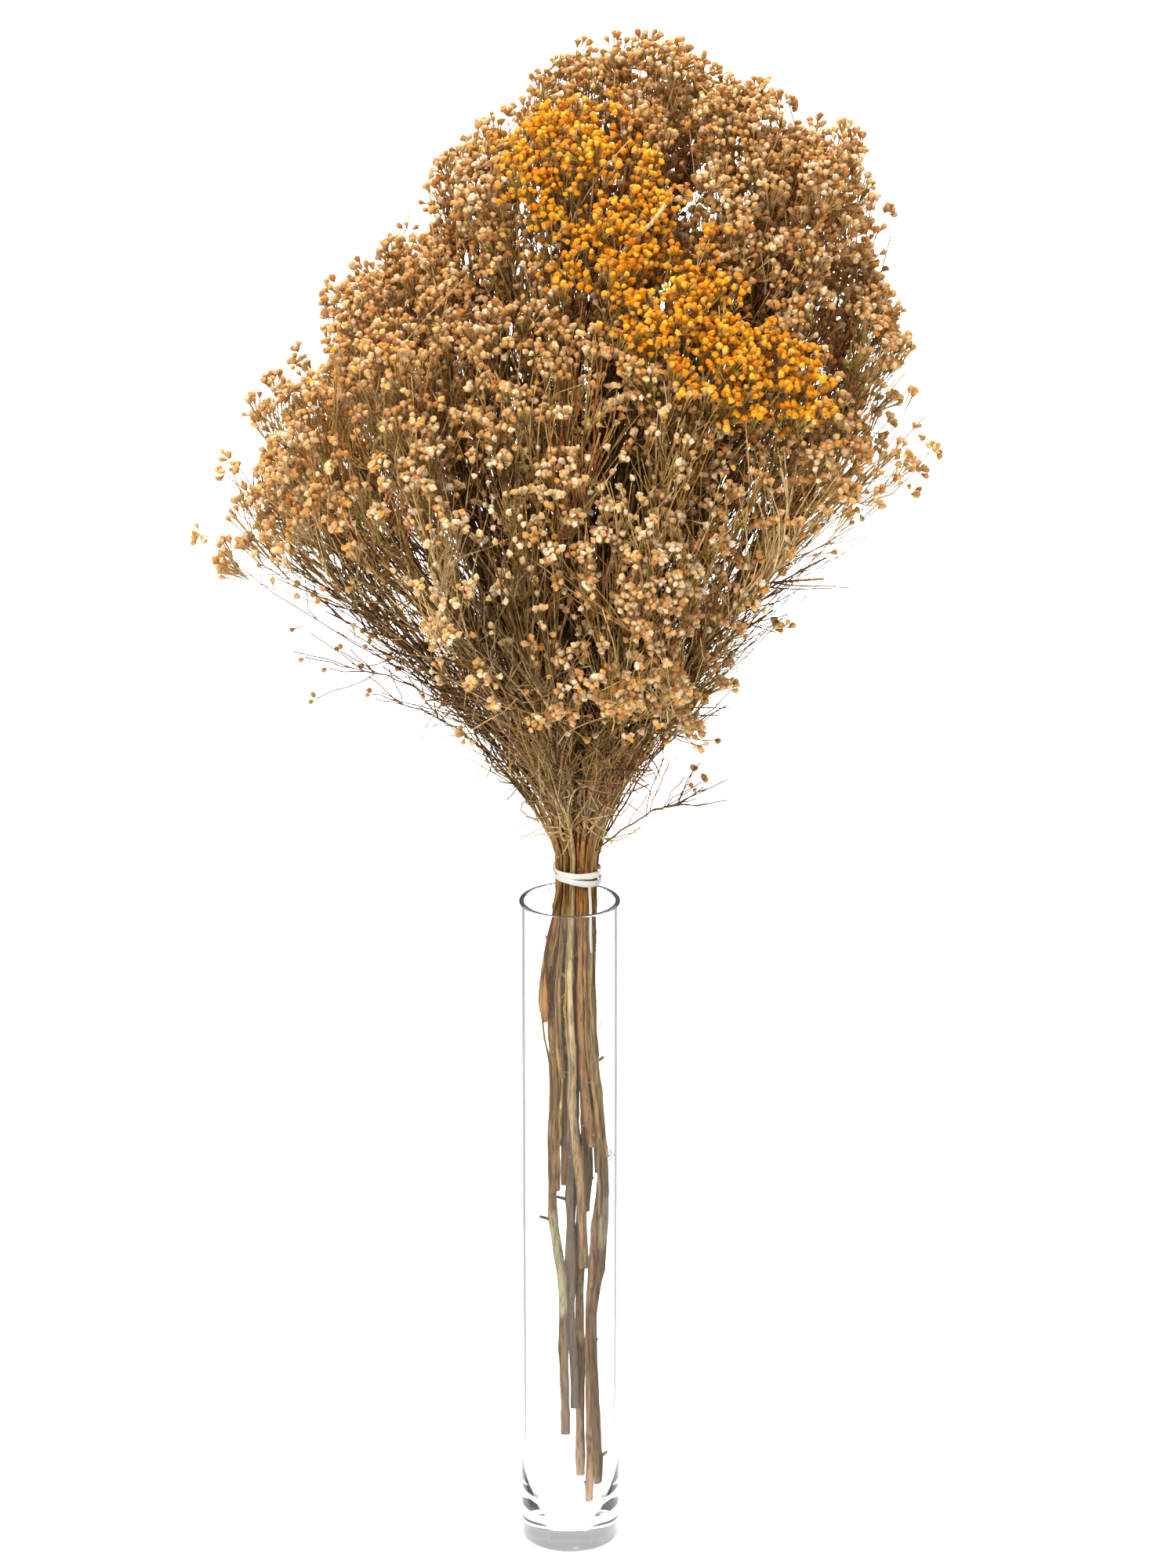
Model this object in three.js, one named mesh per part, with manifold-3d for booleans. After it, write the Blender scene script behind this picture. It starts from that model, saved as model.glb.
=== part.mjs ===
// A tied bunch of dried flowering broom standing in a tall clear cylinder vase.
// Millimetres, +Z up, origin at the centre of the vase's underside. The front is towards -Y.
import * as THREE from 'three';
import { mergeVertices } from 'three/addons/utils/BufferGeometryUtils.js';
import Module from 'manifold-3d';

const wasm = await Module();
wasm.setup();

// Vase: a straight glass cylinder with a thick floor.
const vaseRadius = 29;
const vaseHeight = 401;
const vaseWall = 3;
const vaseFloor = 13;
const vaseFootRound = 3;
const vaseInnerRound = 5;
const vaseSides = 32;

// Bunch: one stem in the middle, six round it and twelve round those.
const stemPitch = 4.8;
const stemRadiusAtTie = 2.2;
const stemRadiusAtCut = 3.1;
const stemRadiusAtTip = 1.3;
const stemSides = 5;
const stemStep = 46;
const stemNeck = 12;
const stemThickening = 220;
const cutSlant = 0.8;
const latticeTurn = 0.26;
const tieCentre = new THREE.Vector3(4.6, 12.3, 413);

// The bundle widens, turns and drifts on its way down into the vase.
const bundleWiden = 0.36;
const bundleWidenHaste = 1.8;
const bundleTurn = 0.9;
const bundleFoot = new THREE.Vector2(8, -3);
const bundleSway = 3.5;

// Millimetres by which the outer stems bulge to the left and to the right, and draw in again near the floor.
const leftBulge = { amount: 7.5, height: 340, reach: 42 };
const rightBulge = { amount: 7, height: 235, reach: 60 };
const lowPinch = { amount: 4, height: 230, reach: 90 };

// Crown: where the stems fan out above the tie. Its outline is read off between two distances along a stem.
const fullLean = THREE.MathUtils.degToRad(37.5);
const rightUpright = 0.12;
const bendLength = 34;
const crownSpread = 1.25;
const crownBlend = THREE.MathUtils.degToRad(8);
const wayNear = 60;
const wayFar = 300;
const widthPerReach = 0.6;
const forkLow = 48;
const forkHigh = 0.45;

// Corymbs: the flat-topped flower clusters that cover the crown.
const corymbSpacing = 41;
const corymbRadius = 38;
const corymbRagged = 0.15;
const corymbDepth = 27;
const corymbDome = 7;
const corymbSpokes = 10;
const corymbUneven = 16;
const corymbSlope = 45;
const headRelief = 5;
const headRings = [0.36, 0.7, 1];
const headCover = 1.5;
const notchDepth = 0.84;
const branchRadius = 1.15;
const branchSides = 3;
const branchSteps = 3;
const branchSink = 7;
const branchTaper = 0.2;
const branchEase = 0.25;

// Room that each stem's own corymbs keep to the ones of its neighbours.
const cellGap = 1.6;
const cellEdge = 5;
const dartCount = 5000;

// Tie: a white band wound twice, with a tail that hangs down inside the vase.
const tieInnerRadius = 12.7;
const tieThickness = 0.9;
const tieWidth = 4.3;
const tieOffset = 1.8;
const tieTilts = [0.03, 0.15];
const tieSides = 24;
const tailWidth = 1.7;
const tailThickness = 0.7;
const tailLength = 42;
const tailAngle = 0.54;
const tailStandOff = 2.2;
const tailSteps = 6;

// Where each stem is cut, from the middle stem outwards along the rings.
const cutHeights = [
  262, 205, 80, 222, 300, 246, 283,
  13.3, 34, 150, 310, 66, 219, 325, 292, 176, 250, 33, 318,
];

// Flower clusters round the crown, from the tie: place of the top, and the colour of the heads there.
const crownTops = [
  { x: 15, y: -135, z: 175, tint: 'fawn' },
  { x: 66, y: -108, z: 164, tint: 'fawn' },
  { x: -35, y: -118, z: 255, tint: 'cream' },
  { x: 52, y: -118, z: 255, tint: 'cream' },
  { x: 5, y: -70, z: 330, tint: 'straw' },
  { x: -58, y: -55, z: 335, tint: 'tan' },
  { x: -118, y: 25, z: 410, tint: 'tan' },
  { x: -119, y: -5, z: 320, tint: 'tan' },
  { x: -191, y: -10, z: 290, tint: 'tan' },
  { x: -178, y: -34, z: 226, tint: 'tan' },
  { x: 28, y: 0, z: 410, tint: 'orange' },
  { x: -10, y: 55, z: 445, tint: 'orange' },
  { x: 82, y: -25, z: 355, tint: 'orange' },
  { x: 122, y: -45, z: 315, tint: 'orange' },
  { x: -56, y: 70, z: 402, tint: 'straw' },
  { x: -6, y: 112, z: 484, tint: 'straw' },
  { x: 42, y: 112, z: 484, tint: 'straw' },
  { x: 88, y: 100, z: 408, tint: 'orange' },
  { x: 140, y: 98, z: 460, tint: 'brown' },
  { x: 172, y: 88, z: 440, tint: 'brown' },
  { x: 203, y: 70, z: 400, tint: 'brown' },
  { x: 190, y: 22, z: 338, tint: 'tan' },
  { x: 178, y: -10, z: 283, tint: 'straw' },
  { x: 140, y: -45, z: 245, tint: 'straw' },
  { x: 120, y: 130, z: 330, tint: 'brown' },
  { x: 30, y: 170, z: 330, tint: 'tan' },
  { x: -80, y: 140, z: 310, tint: 'brown' },
  { x: -135, y: 80, z: 300, tint: 'tan' },
  { x: -150, y: 60, z: 215, tint: 'tan' },
  { x: -20, y: 170, z: 220, tint: 'fawn' },
  { x: 140, y: 90, z: 225, tint: 'fawn' },
  { x: 152, y: 42, z: 240, tint: 'tan' },
  { x: -80, y: 80, z: 345, tint: 'tan' },
  { x: 56, y: -62, z: 100, tint: 'fawn' },
];

// Ways in which the crown has only bare twigs.
const bareWays = [
  new THREE.Vector3(62, -30, 73),
  new THREE.Vector3(69, 6, 70),
  new THREE.Vector3(-45, -32, 45),
  new THREE.Vector3(170, -15, 213),
  new THREE.Vector3(165, 35, 200),
  new THREE.Vector3(-165, -50, 165),
];

const tints = {
  fawn: '#b9956a',
  cream: '#d3b483',
  straw: '#d39a48',
  tan: '#b98a50',
  brown: '#a4743f',
  orange: '#e8951e',
};

// Seeded draws between 0 and 1.
let drawState = 20;
function draw() {
  drawState = (Math.imul(drawState, 1664525) + 1013904223) >>> 0;
  return drawState / 4294967296;
}

function smooth(value) {
  const x = THREE.MathUtils.clamp(value, 0, 1);
  return x * x * (3 - 2 * x);
}

// A closed body from its corners and triangles, turned so that its faces point out.
function closedBody(corners, triangles) {
  const across = new THREE.Vector3();
  let volume = 0;
  for (const [i, j, k] of triangles) {
    volume += across.crossVectors(corners[i], corners[j]).dot(corners[k]);
  }
  const faces = volume < 0 ? triangles.map(([i, j, k]) => [i, k, j]) : triangles;
  const geometry = new THREE.BufferGeometry();
  const numbers = corners.flatMap((corner) => corner.toArray());
  geometry.setAttribute('position', new THREE.Float32BufferAttribute(numbers, 3));
  geometry.setIndex(faces.flat());
  return geometry;
}

// A tapered tube through points; its first end may be cut on a slant.
function tube(points, radii, sides, slant = 0) {
  const corners = [];
  const triangles = [];
  points.forEach((point, ring) => {
    const before = points[Math.max(ring - 1, 0)];
    const after = points[Math.min(ring + 1, points.length - 1)];
    const along = after.clone().sub(before).normalize();
    const across = new THREE.Vector3(1, 0, 0).cross(along).normalize();
    const aside = along.clone().cross(across);
    for (let side = 0; side < sides; side += 1) {
      const angle = (2 * Math.PI * side) / sides;
      const corner = point.clone();
      corner.addScaledVector(across, radii[ring] * Math.cos(angle));
      corner.addScaledVector(aside, radii[ring] * Math.sin(angle));
      if (ring === 0) {
        corner.z += slant * (1 + Math.cos(angle));
      }
      corners.push(corner);
      if (ring > 0) {
        const next = (side + 1) % sides;
        const low = (ring - 1) * sides;
        const high = ring * sides;
        triangles.push([low + side, low + next, high + next], [low + side, high + next, high + side]);
      }
    }
  });
  const top = (points.length - 1) * sides;
  for (let side = 1; side < sides - 1; side += 1) {
    triangles.push([0, side + 1, side], [top, top + side, top + side + 1]);
  }
  return closedBody(corners, triangles);
}

// A flat strip through points, each with the direction in which the strip is thick.
function strip(points, thickWays, width, thickness) {
  const corners = [];
  const triangles = [];
  points.forEach((point, ring) => {
    const before = points[Math.max(ring - 1, 0)];
    const after = points[Math.min(ring + 1, points.length - 1)];
    const along = after.clone().sub(before).normalize();
    const thick = thickWays[ring].clone().normalize();
    const wide = along.clone().cross(thick).normalize();
    for (const [w, h] of [[-1, -1], [1, -1], [1, 1], [-1, 1]]) {
      const corner = point.clone();
      corner.addScaledVector(wide, (w * width) / 2);
      corner.addScaledVector(thick, (h * thickness) / 2);
      corners.push(corner);
    }
    if (ring > 0) {
      for (let side = 0; side < 4; side += 1) {
        const next = (side + 1) % 4;
        const low = 4 * (ring - 1);
        const high = 4 * ring;
        triangles.push([low + side, low + next, high + next], [low + side, high + next, high + side]);
      }
    }
  });
  const top = 4 * (points.length - 1);
  triangles.push([0, 2, 1], [0, 3, 2], [top, top + 1, top + 2], [top, top + 2, top + 3]);
  return closedBody(corners, triangles);
}

function solid(geometry) {
  const bare = new THREE.BufferGeometry();
  bare.setAttribute('position', geometry.attributes.position);
  bare.setIndex(geometry.index);
  const merged = mergeVertices(bare, 1e-4);
  return new wasm.Manifold(new wasm.Mesh({
    numProp: 3,
    vertProperties: Float32Array.from(merged.attributes.position.array),
    triVerts: Uint32Array.from(merged.index.array),
  }));
}

function fuse(geometries) {
  const joined = geometries.map(solid).reduce((whole, piece) => whole.add(piece));
  const mesh = joined.getMesh();
  const geometry = new THREE.BufferGeometry();
  geometry.setAttribute('position', new THREE.BufferAttribute(mesh.vertProperties, 3));
  geometry.setIndex(new THREE.BufferAttribute(mesh.triVerts, 1));
  return geometry;
}

function named(name, geometry, colour, roughness, extra = {}) {
  const material = new THREE.MeshStandardMaterial({ color: colour, roughness, metalness: 0, ...extra });
  const mesh = new THREE.Mesh(geometry, material);
  mesh.name = name;
  return mesh;
}

// Points of a quarter or half circle in the profile plane.
function arc(x, y, radius, from, to, steps) {
  const points = [];
  for (let step = 0; step <= steps; step += 1) {
    const angle = from + ((to - from) * step) / steps;
    points.push(new THREE.Vector2(x + radius * Math.cos(angle), y + radius * Math.sin(angle)));
  }
  return points;
}

function makeVase() {
  const inner = vaseRadius - vaseWall;
  const lip = vaseWall / 2;
  const quarter = Math.PI / 2;
  const profile = [
    new THREE.Vector2(0, 0),
    ...arc(vaseRadius - vaseFootRound, vaseFootRound, vaseFootRound, -quarter, 0, 3),
    ...arc(vaseRadius - lip, vaseHeight - lip, lip, 0, Math.PI, 4),
    ...arc(inner - vaseInnerRound, vaseFloor + vaseInnerRound, vaseInnerRound, 0, -quarter, 3),
    new THREE.Vector2(0, vaseFloor),
  ];
  const lathe = new THREE.LatheGeometry(profile, vaseSides);
  lathe.rotateX(quarter);
  return named('vase', lathe, '#eef3f2', 0.04, { transparent: true, opacity: 0.35 });
}

// A place in the bundle, as a share of its radius, for each stem: a hexagonal packing.
function stemPlaces() {
  const places = [new THREE.Vector2(0, 0)];
  for (const ring of [1, 2]) {
    for (let side = 0; side < 6; side += 1) {
      const corner = (Math.PI / 3) * side + latticeTurn;
      const along = corner + (2 * Math.PI) / 3;
      for (let step = 0; step < ring; step += 1) {
        places.push(new THREE.Vector2(
          (ring * Math.cos(corner) + step * Math.cos(along)) / 2,
          (ring * Math.sin(corner) + step * Math.sin(along)) / 2,
        ));
      }
    }
  }
  return places;
}

// The bundle below the tie, at a height.
function below(place, height) {
  const down = (tieCentre.z - height) / (tieCentre.z - vaseFloor);
  const widen = 2 * stemPitch * (1 + bundleWiden * smooth(bundleWidenHaste * down));
  const turned = place.clone().rotateAround(new THREE.Vector2(), bundleTurn * smooth(down));
  const sway = bundleSway * Math.sin(Math.PI * down);
  const side = turned.x < 0 ? leftBulge : rightBulge;
  const bulge = side.amount * Math.exp(-(((height - side.height) / side.reach) ** 2)) * turned.x;
  const pinch = lowPinch.amount * smooth((lowPinch.height - height) / lowPinch.reach) * turned.x ** 3;
  const middle = THREE.MathUtils.lerp(tieCentre.x, bundleFoot.x, smooth(down)) - sway;
  return new THREE.Vector3(
    middle + widen * turned.x + bulge - pinch,
    THREE.MathUtils.lerp(tieCentre.y, bundleFoot.y, down) + widen * turned.y,
    height,
  );
}

// The crown above the tie, at a distance along the stem. Lines from two places never meet.
function above(place, distance) {
  const spread = Math.max(place.length(), 1e-6);
  const lean = fullLean * spread * (1 - rightUpright * smooth(place.x / spread));
  const run = distance - bendLength * (1 - Math.exp(-distance / bendLength));
  const out = 2 * stemPitch * spread + Math.sin(lean) * run;
  return new THREE.Vector3(
    tieCentre.x + (place.x / spread) * out,
    tieCentre.y + (place.y / spread) * out,
    tieCentre.z + distance - (1 - Math.cos(lean)) * run,
  );
}

// How far the crown reaches along a line, and its colour there, from the clusters near it.
function crownAt(place) {
  const way = above(place, wayFar).sub(above(place, wayNear)).normalize();
  let sum = 0;
  let weight = 0;
  let best = 0;
  let tint;
  for (const top of crownTops) {
    const to = new THREE.Vector3(top.x, top.y, top.z);
    const near = Math.exp(-((way.angleTo(to) / crownBlend) ** 2));
    sum += near * to.length();
    weight += near;
    if (near > best) {
      best = near;
      tint = top.tint;
    }
  }
  const bare = bareWays.some((bareWay) => Math.exp(-((way.angleTo(bareWay) / crownBlend) ** 2)) > best);
  return { reach: sum / weight, tint, bare };
}

function nearestPlace(places, place) {
  let found = 0;
  places.forEach((other, index) => {
    if (other.distanceTo(place) < places[found].distanceTo(place)) {
      found = index;
    }
  });
  return found;
}

// Distance from a place, along a way, to the line midway between it (or its own stem) and another.
function midway(from, way, own, other) {
  const across = other.clone().sub(own);
  const speed = way.dot(across);
  const rest = across.dot(own.clone().add(other).multiplyScalar(0.5).sub(from));
  return speed > 1e-6 ? rest / speed : Infinity;
}

// Corymbs spread evenly over the crown, each with the stem that it grows from.
function placeCorymbs(places) {
  const corymbs = [];
  for (let dart = 0; dart < dartCount; dart += 1) {
    const angle = 2 * Math.PI * draw();
    const spread = crownSpread * Math.sqrt(draw());
    const uneven = corymbUneven * (2 * draw() - 1);
    const place = new THREE.Vector2(spread * Math.cos(angle), spread * Math.sin(angle));
    const { reach, tint, bare } = crownAt(place);
    const scale = 2 * stemPitch + widthPerReach * reach;
    const stem = nearestPlace(places, place);
    const edge = Math.min(...places.filter((other, index) => index !== stem).map((other) => (
      midway(place, other.clone().sub(places[stem]).normalize(), places[stem], other)
    )));
    const tip = above(place, reach);
    const clear = corymbs.every((other) => other.tip.distanceTo(tip) > corymbSpacing);
    if (!bare && clear && edge * scale > cellEdge) {
      corymbs.push({ place, reach: reach + uneven, tint, scale, stem, tip, angle });
    }
  }
  return corymbs;
}

// A domed cluster whose top is raised into heads, on a cone of stalks that meet at one point.
function corymbShape(corymb, corymbs, places) {
  const { place, reach, scale, stem } = corymb;
  const own = places[stem];
  const level = crownAt(place).reach;
  const corners = [above(place, reach - corymbDepth), above(place, reach)];
  const triangles = [];
  for (let spoke = 0; spoke < corymbSpokes; spoke += 1) {
    const angle = (2 * Math.PI * spoke) / corymbSpokes + corymb.angle;
    const way = new THREE.Vector2(Math.cos(angle), Math.sin(angle));
    let edge = (corymbRadius * (1 + corymbRagged * (2 * draw() - 1))) / scale;
    places.forEach((other, index) => {
      if (index !== stem) {
        edge = Math.min(edge, midway(place, way, own, other) - cellGap / scale);
      }
    });
    for (const other of corymbs) {
      if (other !== corymb) {
        edge = Math.min(edge, midway(place, way, place, other.place));
      }
    }
    const spots = headRings.map((share, ring) => {
      const valley = (spoke + ring) % 2;
      const out = edge * share * (valley && ring === 2 ? notchDepth : 1);
      const spot = place.clone().addScaledVector(way, out);
      const slope = THREE.MathUtils.clamp(crownAt(spot).reach - level, -corymbSlope, corymbSlope);
      return { spot, top: reach + slope - corymbDome * share * share - headRelief * valley };
    });
    spots.forEach(({ spot, top }, ring) => {
      const stalks = THREE.MathUtils.lerp(reach - corymbDepth, spots[2].top, headRings[ring]);
      corners.push(above(spot, ring === 2 ? top : Math.max(top, stalks + headCover)));
    });
  }
  const corner = (spoke, ring) => 2 + 3 * (spoke % corymbSpokes) + ring;
  for (let spoke = 0; spoke < corymbSpokes; spoke += 1) {
    triangles.push([1, corner(spoke, 0), corner(spoke + 1, 0)]);
    for (let ring = 0; ring < 2; ring += 1) {
      const a = corner(spoke, ring);
      const b = corner(spoke + 1, ring);
      const c = corner(spoke + 1, ring + 1);
      const d = corner(spoke, ring + 1);
      if ((spoke + ring) % 2) {
        triangles.push([a, d, c], [a, c, b]);
      } else {
        triangles.push([a, d, b], [b, d, c]);
      }
    }
    triangles.push([0, corner(spoke + 1, 2), corner(spoke, 2)]);
  }
  return closedBody(corners, triangles);
}

// A thin branch from its fork on the stem to the foot of its corymb.
function branchShape(corymb, places) {
  const own = places[corymb.stem];
  const fork = THREE.MathUtils.lerp(forkLow, forkHigh * corymb.reach, draw());
  const foot = corymb.reach - corymbDepth + branchSink;
  const points = [];
  const radii = [];
  for (let step = 0; step <= branchSteps; step += 1) {
    const share = step / branchSteps;
    const place = own.clone().lerp(corymb.place, smooth(branchEase + (1 - branchEase) * share) * share);
    points.push(above(place, THREE.MathUtils.lerp(fork, foot, share)));
    radii.push(branchRadius * (1 + branchTaper * (0.5 - share)));
  }
  return { fork, shape: tube(points, radii, branchSides) };
}

function stemShape(place, cut, top) {
  const thick = (down) => (
    THREE.MathUtils.lerp(stemRadiusAtTie, stemRadiusAtCut, smooth(down / stemThickening))
  );
  const points = [below(place, cut)];
  const radii = [thick(tieCentre.z - cut)];
  const steps = Math.floor((tieCentre.z - cut - stemNeck) / stemStep);
  for (let step = steps; step >= 0; step -= 1) {
    points.push(below(place, tieCentre.z - step * stemStep));
    radii.push(thick(step * stemStep));
  }
  const rise = Math.ceil((top - stemNeck) / stemStep);
  for (let step = 0; step <= rise; step += 1) {
    points.push(above(place, THREE.MathUtils.lerp(stemNeck, top, step / rise)));
    radii.push(THREE.MathUtils.lerp(stemRadiusAtTie, stemRadiusAtTip, step / rise));
  }
  return tube(points, radii, stemSides, cutSlant);
}

function makeSprays() {
  const places = stemPlaces();
  const corymbs = placeCorymbs(places);
  return places.map((place, index) => {
    const mine = corymbs.filter((corymb) => corymb.stem === index);
    const heads = mine.map((corymb) => corymbShape(corymb, corymbs, places));
    const branches = mine.map((corymb) => branchShape(corymb, places));
    const top = Math.max(forkLow, ...branches.map((branch) => branch.fork)) + stemNeck;
    const stem = stemShape(place, cutHeights[index], top);
    const { tint } = crownAt(place);
    const spray = fuse([stem, ...branches.map((branch) => branch.shape), ...heads]);
    return named(`spray_${String(index + 1).padStart(2, '0')}`, spray, tints[tint], 0.9);
  });
}

// One turn of the tie: a flat ring whose plane is tilted.
function tieTurn(tilt, rise) {
  const outer = tieInnerRadius + tieThickness;
  const profile = [
    new THREE.Vector2(tieInnerRadius, -tieWidth / 2),
    new THREE.Vector2(outer, -tieWidth / 2),
    new THREE.Vector2(outer, tieWidth / 2),
    new THREE.Vector2(tieInnerRadius, tieWidth / 2),
    new THREE.Vector2(tieInnerRadius, -tieWidth / 2),
  ];
  const ring = new THREE.LatheGeometry(profile, tieSides);
  ring.rotateX(Math.PI / 2);
  ring.rotateY(tilt);
  ring.translate(tieCentre.x, tieCentre.y, tieCentre.z + rise);
  return ring;
}

// The loose end of the tie: down from the front of the lower turn, just clear of the stems.
function tieTail() {
  const points = [];
  const ways = [];
  for (let step = 0; step <= tailSteps; step += 1) {
    const share = step / tailSteps;
    const out = tieInnerRadius + tieThickness / 2 + tailStandOff * smooth(2 * share);
    const way = new THREE.Vector3(Math.sin(tailAngle), -Math.cos(tailAngle), 0);
    const point = tieCentre.clone().addScaledVector(way, out);
    point.z -= tieOffset + tailLength * share;
    points.push(point);
    ways.push(way);
  }
  return strip(points, ways, tailWidth, tailThickness);
}

function makeTie() {
  const turns = tieTilts.map((tilt, turn) => tieTurn(tilt, turn === 0 ? tieOffset : -tieOffset));
  return named('tie', fuse([...turns, tieTail()]), '#f1f1ee', 0.5);
}

const bunch = new THREE.Group();
bunch.add(makeVase());
bunch.add(makeTie());
bunch.add(...makeSprays());
export default bunch;
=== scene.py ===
# A tied bunch of dried flowering broom standing in a tall clear cylinder vase.
# The shapes are worked out in millimetres and made in metres.
import bpy
import math
import numpy as np
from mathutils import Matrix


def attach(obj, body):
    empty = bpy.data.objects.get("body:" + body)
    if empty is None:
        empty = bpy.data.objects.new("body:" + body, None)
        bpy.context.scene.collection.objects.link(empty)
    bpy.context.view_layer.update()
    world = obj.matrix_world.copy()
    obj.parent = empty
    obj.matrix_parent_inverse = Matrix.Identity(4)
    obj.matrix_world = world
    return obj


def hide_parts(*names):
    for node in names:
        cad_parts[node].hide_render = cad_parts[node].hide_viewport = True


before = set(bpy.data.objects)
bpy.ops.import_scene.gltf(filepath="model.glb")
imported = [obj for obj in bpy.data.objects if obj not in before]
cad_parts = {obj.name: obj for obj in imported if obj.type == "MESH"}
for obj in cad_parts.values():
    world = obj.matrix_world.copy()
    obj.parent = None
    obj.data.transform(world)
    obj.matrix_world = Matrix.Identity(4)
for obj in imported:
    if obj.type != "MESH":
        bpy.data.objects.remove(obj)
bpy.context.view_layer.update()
print("frame loaded")

random = np.random.default_rng(41)
upward = np.array([0, 0, 1.0])
golden = math.pi * (3 - math.sqrt(5))


# An sRGB hex colour in linear light.
def linear(hexColour):
    channels = [int(hexColour[i:i + 2], 16) / 255 for i in (1, 3, 5)]
    return tuple(c / 12.92 if c <= 0.04045 else ((c + 0.055) / 1.055) ** 2.4 for c in channels) + (1.0,)


# One node with its settings, its links as (node, output), and its stops if it is a colour ramp.
def addNode(material, kind, settings=(), links=(), stops=()):
    tree = material.node_tree
    node = tree.nodes.new("ShaderNode" + kind)
    for key, value in dict(settings).items():
        if isinstance(value, str) and value.startswith("#"):
            value = linear(value)
        if isinstance(key, int) or key in node.inputs:
            node.inputs[key].default_value = value
        else:
            setattr(node, key, value)
    for key, (source, output) in dict(links).items():
        tree.links.new(source.outputs[output], node.inputs[key])
    elements = node.color_ramp.elements if stops else []
    while len(elements) < len(stops):
        elements.new(0.5)
    for element, (position, hexColour) in zip(elements, stops):
        element.position = position
        element.color = linear(hexColour)
    return node


def newMaterial(name):
    material = bpy.data.materials.new(name)
    material.use_nodes = True
    material.node_tree.nodes.clear()
    return material


# A new material with the four marks of its mesh, the first three also apart, and the place in the object.
def markedMaterial(name):
    material = newMaterial(name)
    marks = addNode(material, "Attribute", {"attribute_name": "marks"})
    parts = addNode(material, "SeparateColor", {}, {"Color": (marks, "Color")})
    place = addNode(material, "TexCoord")
    return material, marks, parts, place


def finishMaterial(material, settings, links=()):
    shader = addNode(material, "BsdfPrincipled", settings, links)
    addNode(material, "OutputMaterial", {}, {"Surface": (shader, "BSDF")})
    return material


# One object from lists of corners in millimetres, faces, and four marks a corner for its material.
def makeObject(name, corners, faces, marks, material, smooth=True):
    mesh = bpy.data.meshes.new(name)
    corners = np.concatenate(corners).astype(np.float32) * 0.001
    sizes = np.concatenate([np.full(len(part), part.shape[1]) for part in faces])
    loops = np.concatenate([part.ravel() for part in faces]).astype(np.int32)
    mesh.vertices.add(len(corners))
    mesh.vertices.foreach_set("co", corners.ravel())
    mesh.loops.add(len(loops))
    mesh.loops.foreach_set("vertex_index", loops)
    mesh.polygons.add(len(sizes))
    mesh.polygons.foreach_set("loop_start", np.concatenate([[0], np.cumsum(sizes)[:-1]]).astype(np.int32))
    mesh.polygons.foreach_set("use_smooth", np.full(len(sizes), smooth))
    if marks is not None:
        layer = mesh.attributes.new("marks", "FLOAT_COLOR", "POINT")
        layer.data.foreach_set("color", np.concatenate(marks).astype(np.float32).ravel())
    mesh.update(calc_edges=True)
    mesh.validate()
    made = bpy.data.objects.new(name, mesh)
    bpy.context.collection.objects.link(made)
    made.data.materials.append(material)
    return made


# A growing set of corners, faces and marks that becomes one object.
class Pile:
    def __init__(self):
        self.corners = []
        self.faces = []
        self.marks = []
        self.count = 0

    def add(self, corners, faces, marks):
        corners = corners.reshape(-1, 3)
        self.corners.append(corners)
        self.faces.extend(part + self.count for part in faces)
        self.marks.append(np.broadcast_to(marks, (len(corners), 4)).copy())
        self.count += len(corners)

    def make(self, name, material, smooth=True):
        return makeObject(name, self.corners, self.faces, self.marks, material, smooth)


def between(ends, size=None):
    return random.uniform(*ends, size)


def unit(vectors):
    return vectors / np.maximum(np.linalg.norm(vectors, axis=-1, keepdims=True), 1e-9)


# Eases from 0 at the start to 1 at the end.
def ramp(value, start=0, end=1):
    x = np.clip((value - start) / (end - start), 0, 1)
    return x * x * (3 - 2 * x)


# Faces with four corners between rings that follow each other.
def wallFaces(rings, sides):
    ring = np.arange(rings - 1)[:, None] * sides
    at = np.arange(sides)[None]
    after = (at + 1) % sides
    return np.stack([ring + at, ring + after, ring + sides + after, ring + sides + at], -1).reshape(-1, 4)


# Two directions square to each tube's own run, for every point of it.
def acrossTubes(points):
    along = unit(np.gradient(points, axis=1))
    mean = np.abs(unit(points[:, -1] - points[:, 0]))
    reference = np.eye(3)[np.argmin(mean, axis=1)][:, None, :]
    side = unit(np.cross(along, reference))
    return side, np.cross(along, side)


# Tubes with the same number of points: points (tubes, steps, 3) and radii (tubes, steps).
def addTubes(pile, points, radii, sides, marks, close=True):
    tubes, steps, _ = points.shape
    side, other = acrossTubes(points)
    angles = 2 * np.pi * np.arange(sides) / sides
    radii = radii if radii.ndim == 3 else radii[:, :, None]
    rings = (
        points[:, :, None, :]
        + (radii * np.cos(angles))[..., None] * side[:, :, None, :]
        + (radii * np.sin(angles))[..., None] * other[:, :, None, :]
    )
    starts = (np.arange(tubes) * steps * sides)[:, None, None]
    faces = [(wallFaces(steps, sides)[None] + starts).reshape(-1, 4)]
    if close:
        last = (steps - 1) * sides + np.arange(sides)
        faces.append((last[None, None] + starts).reshape(-1, sides))
    if marks.ndim == 3:
        marks = np.repeat(marks, sides, axis=1).reshape(-1, 4)
    else:
        marks = np.repeat(marks, steps * sides, axis=0)
    pile.add(rings, faces, marks)
    return rings


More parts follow.
